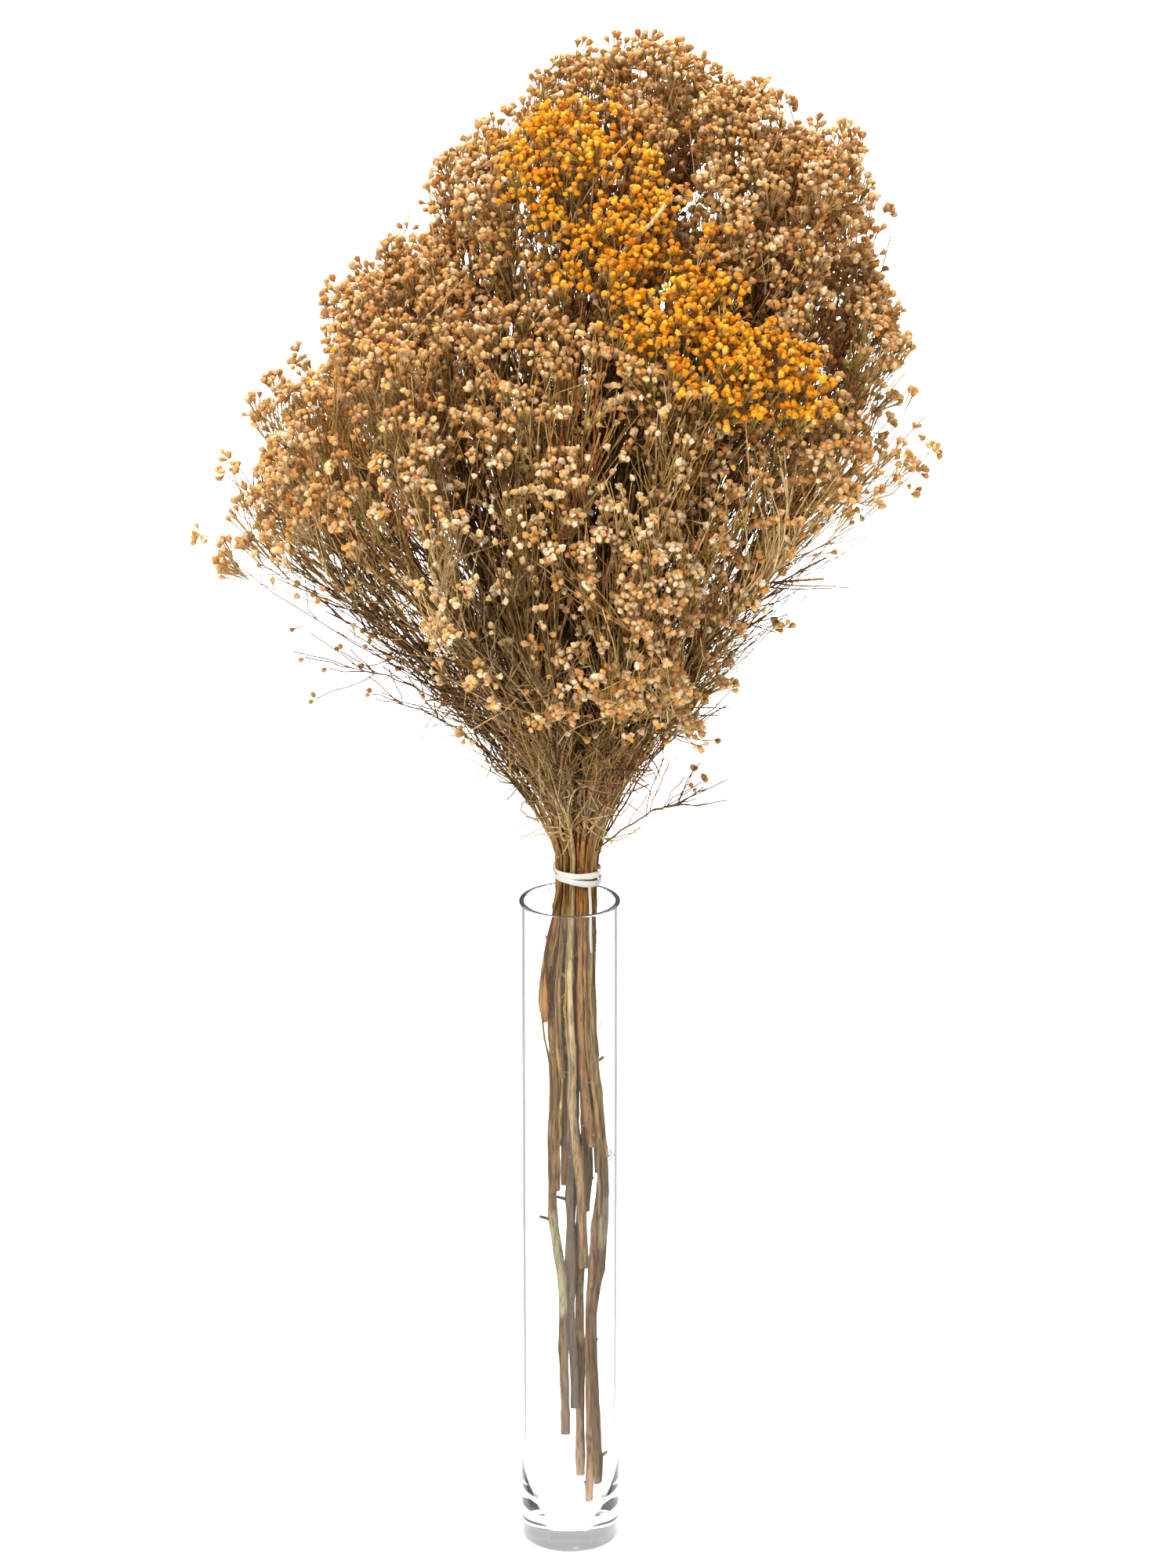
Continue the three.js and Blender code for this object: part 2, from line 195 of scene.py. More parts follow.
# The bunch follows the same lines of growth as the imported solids.
bunch = {
    "pitch": 4.8, "thickening": 220, "turn": 0.26, "tie": np.array([4.6, 12.3, 413.0]), "floor": 13,
    "widen": 0.36, "widenHaste": 1.8, "bundleTurn": 0.9, "foot": (8, -3), "sway": 3.5,
    "leftBulge": (7.5, 340, 42), "rightBulge": (7, 235, 60), "lowPinch": (4, 230, 140),
    "lean": math.radians(37.5), "rightUpright": 0.12, "bend": 34, "spread": 1.25, "blend": math.radians(8),
    "forkLow": 48, "forkHigh": 0.45, "darts": 5000,
    "sight": (60.0, 300.0), "tintSharp": 2.5,
}
corymb = {
    "spacing": 41, "radius": 38, "ragged": 0.15, "depth": 27, "dome": 7, "spokes": 10,
    "uneven": 16, "slope": 45, "sink": 7, "gap": 1.6, "edge": 5, "widening": 0.6,
}
cutHeights = [
    262, 205, 80, 222, 300, 246, 283,
    13.3, 34, 150, 310, 66, 219, 325, 292, 176, 250, 33, 318,
]
# Tops of the crown from the tie, and the tint of the heads there.
crownTops = [
    (15, -135, 175, "fawn"), (66, -108, 164, "fawn"), (-35, -118, 255, "cream"), (52, -118, 255, "cream"),
    (5, -70, 330, "straw"), (-58, -55, 335, "tan"), (-118, 25, 410, "tan"), (-119, -5, 320, "tan"),
    (-191, -10, 290, "tan"), (-178, -34, 226, "tan"), (28, 0, 410, "orange"), (-10, 55, 445, "orange"),
    (82, -25, 355, "orange"), (122, -45, 315, "orange"), (-56, 70, 402, "straw"), (-6, 112, 484, "straw"),
    (42, 112, 484, "straw"), (88, 100, 408, "orange"), (140, 98, 460, "brown"), (172, 88, 440, "brown"),
    (203, 70, 400, "brown"), (190, 22, 338, "tan"), (178, -10, 283, "straw"), (140, -45, 245, "straw"),
    (120, 130, 330, "brown"), (30, 170, 330, "tan"), (-80, 140, 310, "brown"), (-135, 80, 300, "tan"),
    (-150, 60, 215, "tan"), (-20, 170, 220, "fawn"), (140, 90, 225, "fawn"), (152, 42, 240, "tan"),
    (-80, 80, 345, "tan"), (56, -62, 100, "fawn"),
]
# Ways in which only bare twigs grow.
bareWays = np.array([
    (62, -30, 73), (69, 6, 70), (-45, -32, 45), (170, -15, 213), (165, 35, 200), (-165, -50, 165),
], float)
topWays = np.array([top[:3] for top in crownTops], float)
topReach = np.linalg.norm(topWays, axis=1)
tintNames = ["orange", "brown", "cream", "fawn", "straw"]
topTints = np.array([[top[3] == name for name in tintNames] for top in crownTops], float)

drawState = 20
drawRule = {"times": 1664525, "plus": 1013904223, "range": 2 ** 32}


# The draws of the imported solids, in the same order.
def draw():
    global drawState
    drawState = (drawState * drawRule["times"] + drawRule["plus"]) % drawRule["range"]
    return drawState / drawRule["range"]


# Places of the stems in two rings about a middle one, where the outer ring has a radius of 1.
def stemPlaces():
    places = [(0.0, 0.0)]
    for ring in (1, 2):
        for side in range(6):
            corner = math.pi / 3 * side + bunch["turn"]
            along = corner + 2 * math.pi / 3
            for step in range(ring):
                places.append((
                    (ring * math.cos(corner) + step * math.cos(along)) / 2,
                    (ring * math.sin(corner) + step * math.sin(along)) / 2,
                ))
    return np.array(places)


# The bundle below the tie at some heights, for one place.
def below(place, height):
    tie = bunch["tie"]
    down = (tie[2] - height) / (tie[2] - bunch["floor"])
    widen = 2 * bunch["pitch"] * (1 + bunch["widen"] * ramp(bunch["widenHaste"] * down))
    angle = bunch["bundleTurn"] * ramp(down)
    turnedX = place[0] * np.cos(angle) - place[1] * np.sin(angle)
    turnedY = place[0] * np.sin(angle) + place[1] * np.cos(angle)
    bulges = zip(bunch["leftBulge"], bunch["rightBulge"])
    amount, middle, reach = [np.where(turnedX < 0, left, right) for left, right in bulges]
    bulge = amount * np.exp(-(((height - middle) / reach) ** 2)) * turnedX
    amount, high, low = bunch["lowPinch"]
    pinch = amount * ramp(height, high, low) * turnedX ** 3
    x = tie[0] + (bunch["foot"][0] - tie[0]) * ramp(down) - bunch["sway"] * np.sin(np.pi * down)
    x = x + widen * turnedX + bulge - pinch
    y = tie[1] + (bunch["foot"][1] - tie[1]) * down + widen * turnedY
    return np.stack([x, y, height + 0 * x], -1)


# The crown above the tie, for places (..., 2) and distances (...).
def above(place, distance):
    spread = np.maximum(np.linalg.norm(place, axis=-1), 1e-6)
    lean = bunch["lean"] * spread * (1 - bunch["rightUpright"] * ramp(place[..., 0] / spread))
    run = distance - bunch["bend"] * (1 - np.exp(-np.maximum(distance, 0) / bunch["bend"]))
    out = 2 * bunch["pitch"] * spread + np.sin(lean) * run
    x = bunch["tie"][0] + place[..., 0] / spread * out
    y = bunch["tie"][1] + place[..., 1] / spread * out
    return np.stack([x, y, bunch["tie"][2] + distance - (1 - np.cos(lean)) * run], -1)


# How near directions lie to each of the given ways.
def nearness(directions, ways):
    angle = np.arccos(np.clip(directions @ unit(ways).T, -1, 1))
    return np.exp(-((angle / bunch["blend"]) ** 2))


# Reach of the crown, shares of each tint, and whether only bare twigs grow there.
def crownAt(place):
    low, high = bunch["sight"]
    way = unit(above(place, high) - above(place, low))
    near = nearness(way, topWays)
    sharp = near ** bunch["tintSharp"]
    bare = nearness(way, bareWays).max(-1) > near.max(-1)
    return (near @ topReach) / near.sum(-1), (sharp @ topTints) / sharp.sum(-1)[..., None], bare


# How far points lie below the surface of the crown, seen from the tie.
def depthAt(points):
    offset = points - bunch["tie"]
    near = nearness(unit(offset), topWays) + 1e-9
    return (near @ topReach) / near.sum(-1) - np.linalg.norm(offset, axis=-1)


# How far a way runs from a start before it is as near to another place as to its own.
def midway(start, way, own, other):
    across = other - own
    speed = way @ across
    rest = across @ ((own + other) / 2 - start)
    return rest / speed if speed > 1e-6 else math.inf


# Corymbs at random over the crown, none near another or near the edge of its stem's room.
def placeCorymbs(places):
    draws = np.array([[draw(), draw(), draw()] for _ in range(bunch["darts"])])
    angle = 2 * np.pi * draws[:, 0]
    spread = bunch["spread"] * np.sqrt(draws[:, 1])
    spots = np.stack([spread * np.cos(angle), spread * np.sin(angle)], -1)
    reach, _, bare = crownAt(spots)
    tips = above(spots, reach)
    found = []
    for dart in range(bunch["darts"]):
        if bare[dart]:
            continue
        if found and min(np.linalg.norm(other["tip"] - tips[dart]) for other in found) <= corymb["spacing"]:
            continue
        stem = int(np.argmin(np.linalg.norm(places - spots[dart], axis=1)))
        scale = 2 * bunch["pitch"] + corymb["widening"] * reach[dart]
        edge = min(
            midway(spots[dart], unit(other - places[stem]), places[stem], other)
            for index, other in enumerate(places) if index != stem
        )
        if edge * scale > corymb["edge"]:
            uneven = corymb["uneven"] * (2 * draws[dart, 2] - 1)
            found.append({
                "place": spots[dart], "reach": reach[dart] + uneven, "level": reach[dart],
                "scale": scale, "stem": stem, "tip": tips[dart], "angle": angle[dart],
            })
    return found


# How far a corymb spreads along each of its spokes, within its stem's own room.
def spokeEdges(one, corymbs, places):
    own = places[one["stem"]]
    edges = []
    for spoke in range(corymb["spokes"]):
        angle = 2 * math.pi * spoke / corymb["spokes"] + one["angle"]
        way = np.array([math.cos(angle), math.sin(angle)])
        edge = corymb["radius"] * (1 + corymb["ragged"] * (2 * draw() - 1)) / one["scale"]
        for index, other in enumerate(places):
            if index != one["stem"]:
                edge = min(edge, midway(one["place"], way, own, other) - corymb["gap"] / one["scale"])
        for other in corymbs:
            if other is not one:
                edge = min(edge, midway(one["place"], way, one["place"], other["place"]))
        edges.append(edge)
    return np.array(edges)


places = stemPlaces()
corymbs = placeCorymbs(places)
for stem in range(len(places)):
    mine = [one for one in corymbs if one["stem"] == stem]
    for one in mine:
        one["edges"] = spokeEdges(one, corymbs, places)
    for one in mine:
        one["fork"] = bunch["forkLow"] + (bunch["forkHigh"] * one["reach"] - bunch["forkLow"]) * draw()
        one["foot"] = one["reach"] - corymb["depth"] + corymb["sink"]
print("corymbs placed:", len(corymbs))

# Sockets of the mix node: 0 is the factor, 6 and 7 are the colours, and 2 is the result.
blend = {"data_type": "RGBA"}
multiply = {"data_type": "RGBA", "blend_type": "MULTIPLY"}
barkLook = {
    "tones": [
        (0.0, "#ad683c"), (0.18, "#cc8f55"), (0.4, "#d6ae6b"),
        (0.6, "#b8a157"), (0.8, "#e2b87c"), (1.0, "#ecd09a"),
    ],
    # Painted shade: the bark is multiplied by the thick colour, a dark brown, where it is out of the light.
    "old": "#ad8a6a", "peeled": "#efe3b8", "thick": "#5c4834",
    "streaks": [(0.38, "#7d6856"), (0.54, "#ffffff")], "blotches": [(0.35, "#a08e7c"), (0.65, "#ffffff")],
}
headLook = {
    "bract": [(0.0, "#b57d45"), (0.35, "#d8a566"), (0.7, "#edca92"), (1.0, "#fbebcb")],
    "tuft": [(0.0, "#c9740a"), (0.5, "#e99b16"), (1.0, "#f9bf3c")],
    "brown": "#93602f", "calyx": "#8f6c3a", "grain": [(0.35, "#cdbfae"), (0.65, "#ffffff")],
    "tuftFoot": {"From Min": 0.85, "From Max": 1.15, "To Min": 0.0, "To Max": 1.0}, "tuftRise": 0.42,
    "calyxRise": {"From Min": 0.3, "From Max": 0.0, "To Min": 0.0, "To Max": 0.7},
}


# Dried stem with thin lengthwise ribs, tan, olive and rusty side by side, and paler where it is peeled.
def ribbedStem():
    material, marks, parts, place = markedMaterial("dried stem bark, ribbed by stretched noise")
    # Stretched upwards, so that the streaks run along the stems.
    stretch = addNode(material, "Mapping", {"Scale": (1.0, 1.0, 0.09)}, {"Vector": (place, "Object")})
    along = {"Vector": (stretch, "Vector")}
    streaks = addNode(material, "TexNoise", {"Scale": 800.0, "Detail": 4.0, "Roughness": 0.65}, along)
    blotches = addNode(material, "TexNoise", {"Scale": 160.0, "Detail": 2.0}, along)
    tone = addNode(material, "ValToRGB", {}, {"Fac": (parts, "Red")}, barkLook["tones"])
    aged = addNode(
        material, "Mix", {**blend, 7: barkLook["old"]}, {0: (parts, "Green"), 6: (tone, "Color")})
    bare = addNode(material, "Mix", {**blend, 7: barkLook["peeled"]}, {0: (parts, "Blue"), 6: (aged, 2)})
    # Painted shade: a last mark below 1 multiplies the bark towards the dark brown, as wood out of the light;
    # at 1 it is fully lit.
    dark = addNode(material, "Mix", {**multiply, 0: 1.0, 7: barkLook["thick"]}, {6: (bare, 2)})
    withPaintedShade = addNode(material, "Mix", blend, {0: (marks, "Alpha"), 6: (dark, 2), 7: (bare, 2)})
    # The streaks darken the bark in the low parts of the bump: partly the bark's own streaks, partly painted
    # shade in its grooves.
    shade = addNode(material, "ValToRGB", {}, {"Fac": (streaks, "Fac")}, barkLook["streaks"])
    patch = addNode(material, "ValToRGB", {}, {"Fac": (blotches, "Fac")}, barkLook["blotches"])
    streaked = addNode(material, "Mix", {**multiply, 0: 0.75}, {6: (withPaintedShade, 2), 7: (shade, "Color")})
    final = addNode(material, "Mix", {**multiply, 0: 0.4}, {6: (streaked, 2), 7: (patch, "Color")})
    bump = addNode(material, "Bump", {"Strength": 0.8, "Distance": 0.0006}, {"Height": (streaks, "Fac")})
    look = {"Roughness": 0.85, "Specular IOR Level": 0.12}
    return finishMaterial(material, look, {"Base Color": (final, 2), "Normal": (bump, "Normal")})


# Papery head: cream to tan bracts, darker at the calyx, and orange tufts on the fresher ones.
def paperyHead():
    material, marks, parts, place = markedMaterial("papery bracts with orange tufts, from marks and noise")
    grain = addNode(material, "TexNoise", {"Scale": 700.0, "Detail": 2.0}, {"Vector": (place, "Object")})
    bract = addNode(material, "ValToRGB", {}, {"Fac": (parts, "Red")}, headLook["bract"])
    # Browner with age, and in the gaps between bracts by painted shade.
    browned = addNode(
        material, "Mix", {**blend, 7: headLook["brown"]}, {0: (marks, "Alpha"), 6: (bract, "Color")})
    tuft = addNode(material, "ValToRGB", {}, {"Fac": (parts, "Red")}, headLook["tuft"])
    # The tuft is orange for marks up to 1; higher marks bring the colour down to the middle of the head.
    rise = {"operation": "MULTIPLY_ADD", 1: headLook["tuftRise"]}
    run = addNode(material, "Math", rise, {0: (parts, "Green"), 2: (parts, "Blue")})
    orange = addNode(material, "MapRange", headLook["tuftFoot"], {"Value": (run, "Value")})
    topped = addNode(
        material, "Mix", blend, {0: (orange, "Result"), 6: (browned, 2), 7: (tuft, "Color")})
    calyx = addNode(material, "MapRange", headLook["calyxRise"], {"Value": (parts, "Blue")})
    based = addNode(
        material, "Mix", {**blend, 7: headLook["calyx"]}, {0: (calyx, "Result"), 6: (topped, 2)})
    shade = addNode(material, "ValToRGB", {}, {"Fac": (grain, "Fac")}, headLook["grain"])
    final = addNode(material, "Mix", {**multiply, 0: 0.7}, {6: (based, 2), 7: (shade, "Color")})
    look = {"Roughness": 0.75, "Specular IOR Level": 0.15}
    return finishMaterial(material, look, {"Base Color": (final, 2)})


bark = ribbedStem()
bractPaper = paperyHead()

# A head is a goblet of bracts with a tuft, in a few shapes. Those that stray far from the crown are left out.
head = {
    "variants": 7, "radius": 2.1, "sizes": (0.74, 1.14), "detailed": 0.22, "stray": 9,
    "foot": 1.05, "stalk": 0.5, "uneven": 0.07, "tipLift": (-0.14, 0.22), "tipOut": (0.88, 1.1),
    "wobble": 0.06, "tuft": (0.08, 1.05),
    "squash": (0.9, 1.12), "gapShade": 0.3, "hollowing": 0.92,
}
# Height and radius of each ring, in head radii; the last ring is the foot of the tuft.
fullProfile = {"sides": 5, "rings": [(-1.15, 0.24), (-0.45, 0.88), (0.45, 1.0), (0.78, 0.5)], "tips": 2}
plainProfile = {"sides": 5, "rings": [(-1.1, 0.3), (0.3, 1.0), (0.8, 0.5)], "tips": 1}


# Corners, triangles, and for each corner its share along the head and how far it lies in a gap between bracts.
def headShape(profile):
    sides = profile["sides"]
    rings = profile["rings"]
    corners = []
    along = []
    gaps = []
    for level, (height, radius) in enumerate(rings):
        for side in range(sides):
            angle = 2 * math.pi * (side + 0.5 * (level % 2)) / sides
            ragged = random.uniform(-1, 1)
            lift = 0.0
            out = radius * (1 + head["uneven"] * ragged)
            if level == profile["tips"]:  # bract tips stand up and out by turns
                lift = head["tipLift"][side % 2]
                out *= head["tipOut"][side % 2]
            lift += head["wobble"] * ragged
            corners.append((out * math.cos(angle), out * math.sin(angle), height + lift))
            along.append(level / len(rings))
            gaps.append(0.0 if side % 2 else 1.0)
    aside, height = head["tuft"]
    corners.append((aside * random.uniform(-1, 1), aside * random.uniform(-1, 1), height))
    along.append(1.0)
    gaps.append(0.0)
    tris = []
    for level in range(len(rings) - 1):
        lower = level * sides
        upper = lower + sides
        for side in range(sides):
            after = (side + 1) % sides
            if level % 2:
                tris.append((lower + side, upper + after, upper + side))
                tris.append((lower + side, lower + after, upper + after))
            else:
                tris.append((lower + side, lower + after, upper + side))
                tris.append((lower + after, upper + after, upper + side))
    top = (len(rings) - 1) * sides
    for side in range(sides):
        tris.append((top + side, top + (side + 1) % sides, len(corners) - 1))
    return np.array(corners), np.array(tris), np.array(along), np.array(gaps)


fullShapes = [headShape(fullProfile) for variant in range(head["variants"])]
plainShapes = [headShape(plainProfile) for variant in range(head["variants"])]


# Heads at their middles, each with its own way up, size and marks; only those shown are made.
def addHeads(pile, shapes, middles, ways, sizes, tones, orange, brown, shown):
    count = len(middles)
    kinds = random.integers(0, head["variants"], count)
    ways = unit(ways)
    reference = np.eye(3)[np.argmin(np.abs(ways), axis=1)]
    side = unit(np.cross(ways, reference))
    other = np.cross(ways, side)
    spin = random.uniform(0, 2 * np.pi, count)[:, None]
    side, other = side * np.cos(spin) + other * np.sin(spin), other * np.cos(spin) - side * np.sin(spin)
    squash = between(head["squash"], count)[:, None]
    for kind, (corners, tris, along, gaps) in enumerate(shapes):
        at = np.where((kinds == kind) & shown)[0]
        if not len(at):
            continue
        turn = np.stack([side[at], other[at], ways[at] * squash[at]], 1) * sizes[at][:, None, None]
        placed = np.einsum("vk,nkj->nvj", corners, turn) + middles[at][:, None, :]
        starts = (np.arange(len(at)) * len(corners))[:, None, None]
        faces = (tris[None] + starts).reshape(-1, 3)
        marks = np.empty((len(at), len(corners), 4))
        marks[..., 0] = tones[at][:, None]
        marks[..., 1] = orange[at][:, None]
        marks[..., 2] = along[None]
        # Painted shade: corners in the gaps between bracts are browner.
        marks[..., 3] = np.clip(brown[at][:, None] + head["gapShade"] * gaps[None], 0, 1)
        pile.add(placed, [faces], marks.reshape(-1, 4))


# Where the heads are fresh and orange: middles and radii.
freshSpots = np.array([
    (-26, 36, 843, 28), (-16, 7, 824, 26), (-11, -10, 800, 24), (12, -26, 783, 27), (28, -40, 769, 26),
    (49, -54, 755, 25), (72, -61, 741, 26), (98, -64, 723, 30), (120, -40, 725, 36), (31, -8, 801, 38),
    (55, -12, 793, 38), (64, -32, 772, 38), (90, -36, 753, 38), (-2, 50, 853, 36), (28, 18, 830, 38),
], float)
# Hollows between the lobes of the crown, with light twigs and almost no heads.
hollows = np.array([
    (-84, -102, 659, 20), (-61, -123, 651, 22), (-48, -95, 674, 15), (-78, -34, 754, 14),
    (-62, -66, 732, 19), (1, -75, 731, 20), (17, -88, 706, 20), (47, -83, 688, 20),
    (71, -73, 702, 17), (76, -77, 671, 17), (-26, -127, 632, 19), (-29, -114, 662, 17),
    (115, -66, 686, 17), (-98, -118, 642, 17), (-30, -130, 600, 15), (55, -95, 658, 15),
    (-39, -126, 647, 16), (-34, -130, 626, 17), (-25, -127, 603, 18), (-18, -131, 580, 18),
], float)
# Where the wood is in shade: the dark cleft left of the middle, and the lower left flank.
shades = np.array([
    (-48, -108, 661, 30), (-39, -124, 647, 32), (-34, -128, 626, 34), (-25, -124, 603, 36),
    (-18, -128, 580, 34), (-51, -84, 682, 26), (-26, 8, 466, 18), (-47, 4, 498, 24),
    (-72, 0, 529, 30), (-97, -6, 560, 32), (-121, -12, 591, 34), (-146, -18, 622, 34),
], float)


# Shares of a ball's radius up to which a point counts in full, and past which it doesn't count.
ballEdge = {"full": 0.625, "none": 1.25}


# How far points lie inside any of the given balls, from 0 to 1.
def insideAny(points, balls):
    gaps = np.linalg.norm(points[:, None, :] - balls[None, :, :3], axis=2) / balls[:, 3]
    return np.clip((ballEdge["none"] - gaps) / (ballEdge["none"] - ballEdge["full"]), 0, 1).max(1)


# Heads are fewer low in the crown, and more so at its flanks: the loss there, and where it comes in.
fullness = {
    "low": 0.42, "rise": (680, 770),
    "left": (0.7, (-30, -90), (655, 595)), "right": (0.5, (50, 100), (640, 580)),
}


def fullnessAt(points):
    x, _, z = points.T
    share = fullness["low"] + (1 - fullness["low"]) * ramp(z, *fullness["rise"])
    for name in ("left", "right"):
        loss, across, down = fullness[name]
        share = share * (1 - loss * ramp(x, *across) * ramp(z, *down))
    return np.maximum(share, insideAny(points, freshSpots))


# Marks of thin twigs: tone of the bark, how grey with age, and painted light, from 0 in painted shade to 1 for
# a fully lit twig.
def woodMarks(count, tone, old=0.0, light=1.0):
    marks = np.zeros((count, 4))
    marks[:, 0] = tone
    marks[:, 1] = old
    marks[:, 3] = light
    return marks


# Lines of growth are bowed as one, curled in two halves, and kinked at each step, in shares of their wave.
curling = {"curl": 0.6, "kinks": 0.4}


# Points along lines of growth, from (place, distance) to (place, distance).
def growthLines(fromPlace, fromFar, toPlace, toFar, steps, ease, wave):
    share = np.linspace(0, 1, steps)[None, :, None]
    place = fromPlace[:, None, :] + (toPlace - fromPlace)[:, None, :] * share ** ease
    far = fromFar[:, None] + (toFar - fromFar)[:, None] * share[..., 0]
    points = above(place, far)
    bow = random.normal(0, wave, (len(points), 1, 3)) * np.sin(np.pi * share)
    curl = random.normal(0, wave * curling["curl"], (len(points), 1, 3)) * np.sin(2 * np.pi * share)
    kinks = random.normal(0, wave * curling["kinks"], points.shape) * np.sin(np.pi * share) ** 0.5
    return points + bow + curl + kinks


# A path through knots, in even steps.
def throughKnots(knots, steps):
    knots = np.array(knots, float)
    at = np.linspace(0, len(knots) - 1, steps)
    return np.stack([np.interp(at, np.arange(len(knots)), column) for column in knots.T], -1)


# The same path with its corners rounded off.
def roundOff(path):
    path[1:-1] = (path[:-2] + 2 * path[1:-1] + path[2:]) / 4
    return path


# Heads and wood stay between these, front and back.
crownLimits = (-147, 241)
# The branch turns from the middle of its stem's room to that of its corymb.
branch = {
    "steps": 9, "wave": 1.0, "thick": 1.0, "taper": 0.4, "tone": (0.3, 0.95), "turn": 0.25,
    "brown": (0.1, 0.8), "fresh": (0.6, 0.7),
    "flankX": (-20, -70), "flankZ": (680, 620), "flankThin": 0.4, "flankOld": 0.2,
}


def branchPlace(one, share):
    own = places[one["stem"]]
    turn = ramp(branch["turn"] + (1 - branch["turn"]) * share) * share
    return own + (one["place"] - own) * np.asarray(turn)[..., None]


# Clumps of heads on a corymb; high in the crown they run into each other and their heads sit at many depths.
clump = {
    "area": 150, "cover": 0.9, "outermost": 0.93, "uneven": 5.0, "drop": 2, "kept": (0.15, 0.95),
    "heads": (7, 14), "more": 0.3, "least": 3, "thinnest": 0.7, "kinds": [0.6, 1.0, 1.25],
    "stalk": 17, "looseZ": (690, 780), "width": (2.1, 0.4), "ragged": (0.88, 1.12), "deep": (1.6, 5.4),
    "dome": 0.07, "turn": 6.28,
}


# Places and heights of the clumps; what a corymb has grown is kept in its own dictionary.
def layOutClumps(one):
    edges = one["edges"]
    spokes = corymb["spokes"]
    area = math.pi * float(np.mean(edges ** 2)) * one["scale"] ** 2 * clump["cover"]
    count = max(3, round(area / clump["area"]))
    index = np.arange(count)
    angle = golden * index + one["angle"]
    spoke = ((angle - one["angle"]) % (2 * np.pi)) / (2 * np.pi) * spokes
    before = np.floor(spoke).astype(int) % spokes
    edge = edges[before] + (edges[(before + 1) % spokes] - edges[before]) * (spoke % 1)
    out = np.sqrt((index + 0.5) / count) * clump["outermost"]
    spots = one["place"] + np.stack([np.cos(angle), np.sin(angle)], -1) * (edge * out)[:, None]
    reach, tints, _ = crownAt(spots)
    slope = np.clip(reach - one["level"], -corymb["slope"], corymb["slope"])
    uneven = random.normal(0, clump["uneven"], count)
    tops = one["reach"] + slope - corymb["dome"] * out ** 2 + uneven - clump["drop"]
    one.update(spots=spots, tops=tops, clumpTints=tints, full=fullnessAt(above(spots, tops)))


# The branch of the whole corymb, from its fork on the stem.
def growBranch(one, wood):
    share = np.linspace(0, 1, branch["steps"])
    line = above(branchPlace(one, share), one["fork"] + (one["foot"] - one["fork"]) * share)[None]
    line = line + random.normal(0, branch["wave"], (1, 1, 3)) * np.sin(np.pi * share)[None, :, None]
    # Rusty wood under the brown heads, olive under the orange ones.
    tone = between(branch["tone"])
    brownish = float(crownAt(one["place"])[1][1])
    fresh = float(insideAny(one["tip"][None], freshSpots)[0])
    (rusty, brownPull), (olive, freshPull) = branch["brown"], branch["fresh"]
    tone = tone + (rusty - tone) * brownPull * brownish + (olive - tone) * freshPull * fresh
    # On the lower left flank the wood is finer.
    flank = float(ramp(one["tip"][0], *branch["flankX"]) * ramp(one["tip"][2], *branch["flankZ"]))
    thick = (branch["thick"] - branch["taper"] * share) * (1 - branch["flankThin"] * flank)
    addTubes(wood, line, thick[None], 5, woodMarks(1, tone, branch["flankOld"] * flank))
    one.update(tone=tone, flank=flank)


# Strands run from the branch to the clumps; side stalks and risers leave them.
strand = {
    "share": 1.4, "steps": 7, "aside": 4.2, "uneven": 2.5, "start": (0.15, 0.9), "least": 18, "ease": 1.3,
    "wave": 2.2, "flankWave": 2.5, "thick": (0.4, 0.66), "taper": 0.35, "flankThin": 0.3, "tone": 0.22,
    "light": (0.12, 0.88), "flankShade": 0.5,
}


# Strands from the branch to each clump that is kept; some clumps have two.
def growStrands(one, wood):
    spots = one["spots"]
    least, more = clump["kept"]
    kept = random.uniform(0, 1, len(spots)) < least + more * one["full"]
    kept[:1] = True
    index = np.arange(len(spots))[kept]
    goal = np.concatenate([index, index[:round(len(index) * (strand["share"] - 1))]])
    toPlace = spots[goal] + random.normal(0, strand["aside"] / one["scale"], (len(goal), 2))
    toFar = one["tops"][goal] - clump["stalk"] + random.normal(0, strand["uneven"], len(goal))
    start = between(strand["start"], len(goal))
    run = one["foot"] - one["fork"]
    fromFar = np.minimum(one["fork"] + run * start, toFar - strand["least"])
    fromPlace = branchPlace(one, np.maximum((fromFar - one["fork"]) / run, 0))
    wave = strand["wave"] + strand["flankWave"] * one["flank"]
    lines = growthLines(fromPlace, fromFar, toPlace, toFar, strand["steps"], strand["ease"], wave)
    share = np.linspace(0, 1, strand["steps"])
    thick = between(strand["thick"], (len(lines), 1)) * (1 - strand["taper"] * share)
    tones = np.clip(one["tone"] + random.normal(0, strand["tone"], len(lines)), 0, 1)
    marks = np.repeat(woodMarks(len(lines), tones)[:, None], strand["steps"], axis=1)
    # Painted shade: strands are darker near the branch, deep in the crown, and lit towards their clumps; on
    # the lower left flank they are painted darker still.
    least, more = strand["light"]
    marks[..., 3] = (least + more * share ** 1.5) * (1 - strand["flankShade"] * one["flank"])
    addTubes(wood, lines, thick * (1 - strand["flankThin"] * one["flank"]), 3, marks, close=False)
    one.update(index=index, goal=goal, lines=lines)


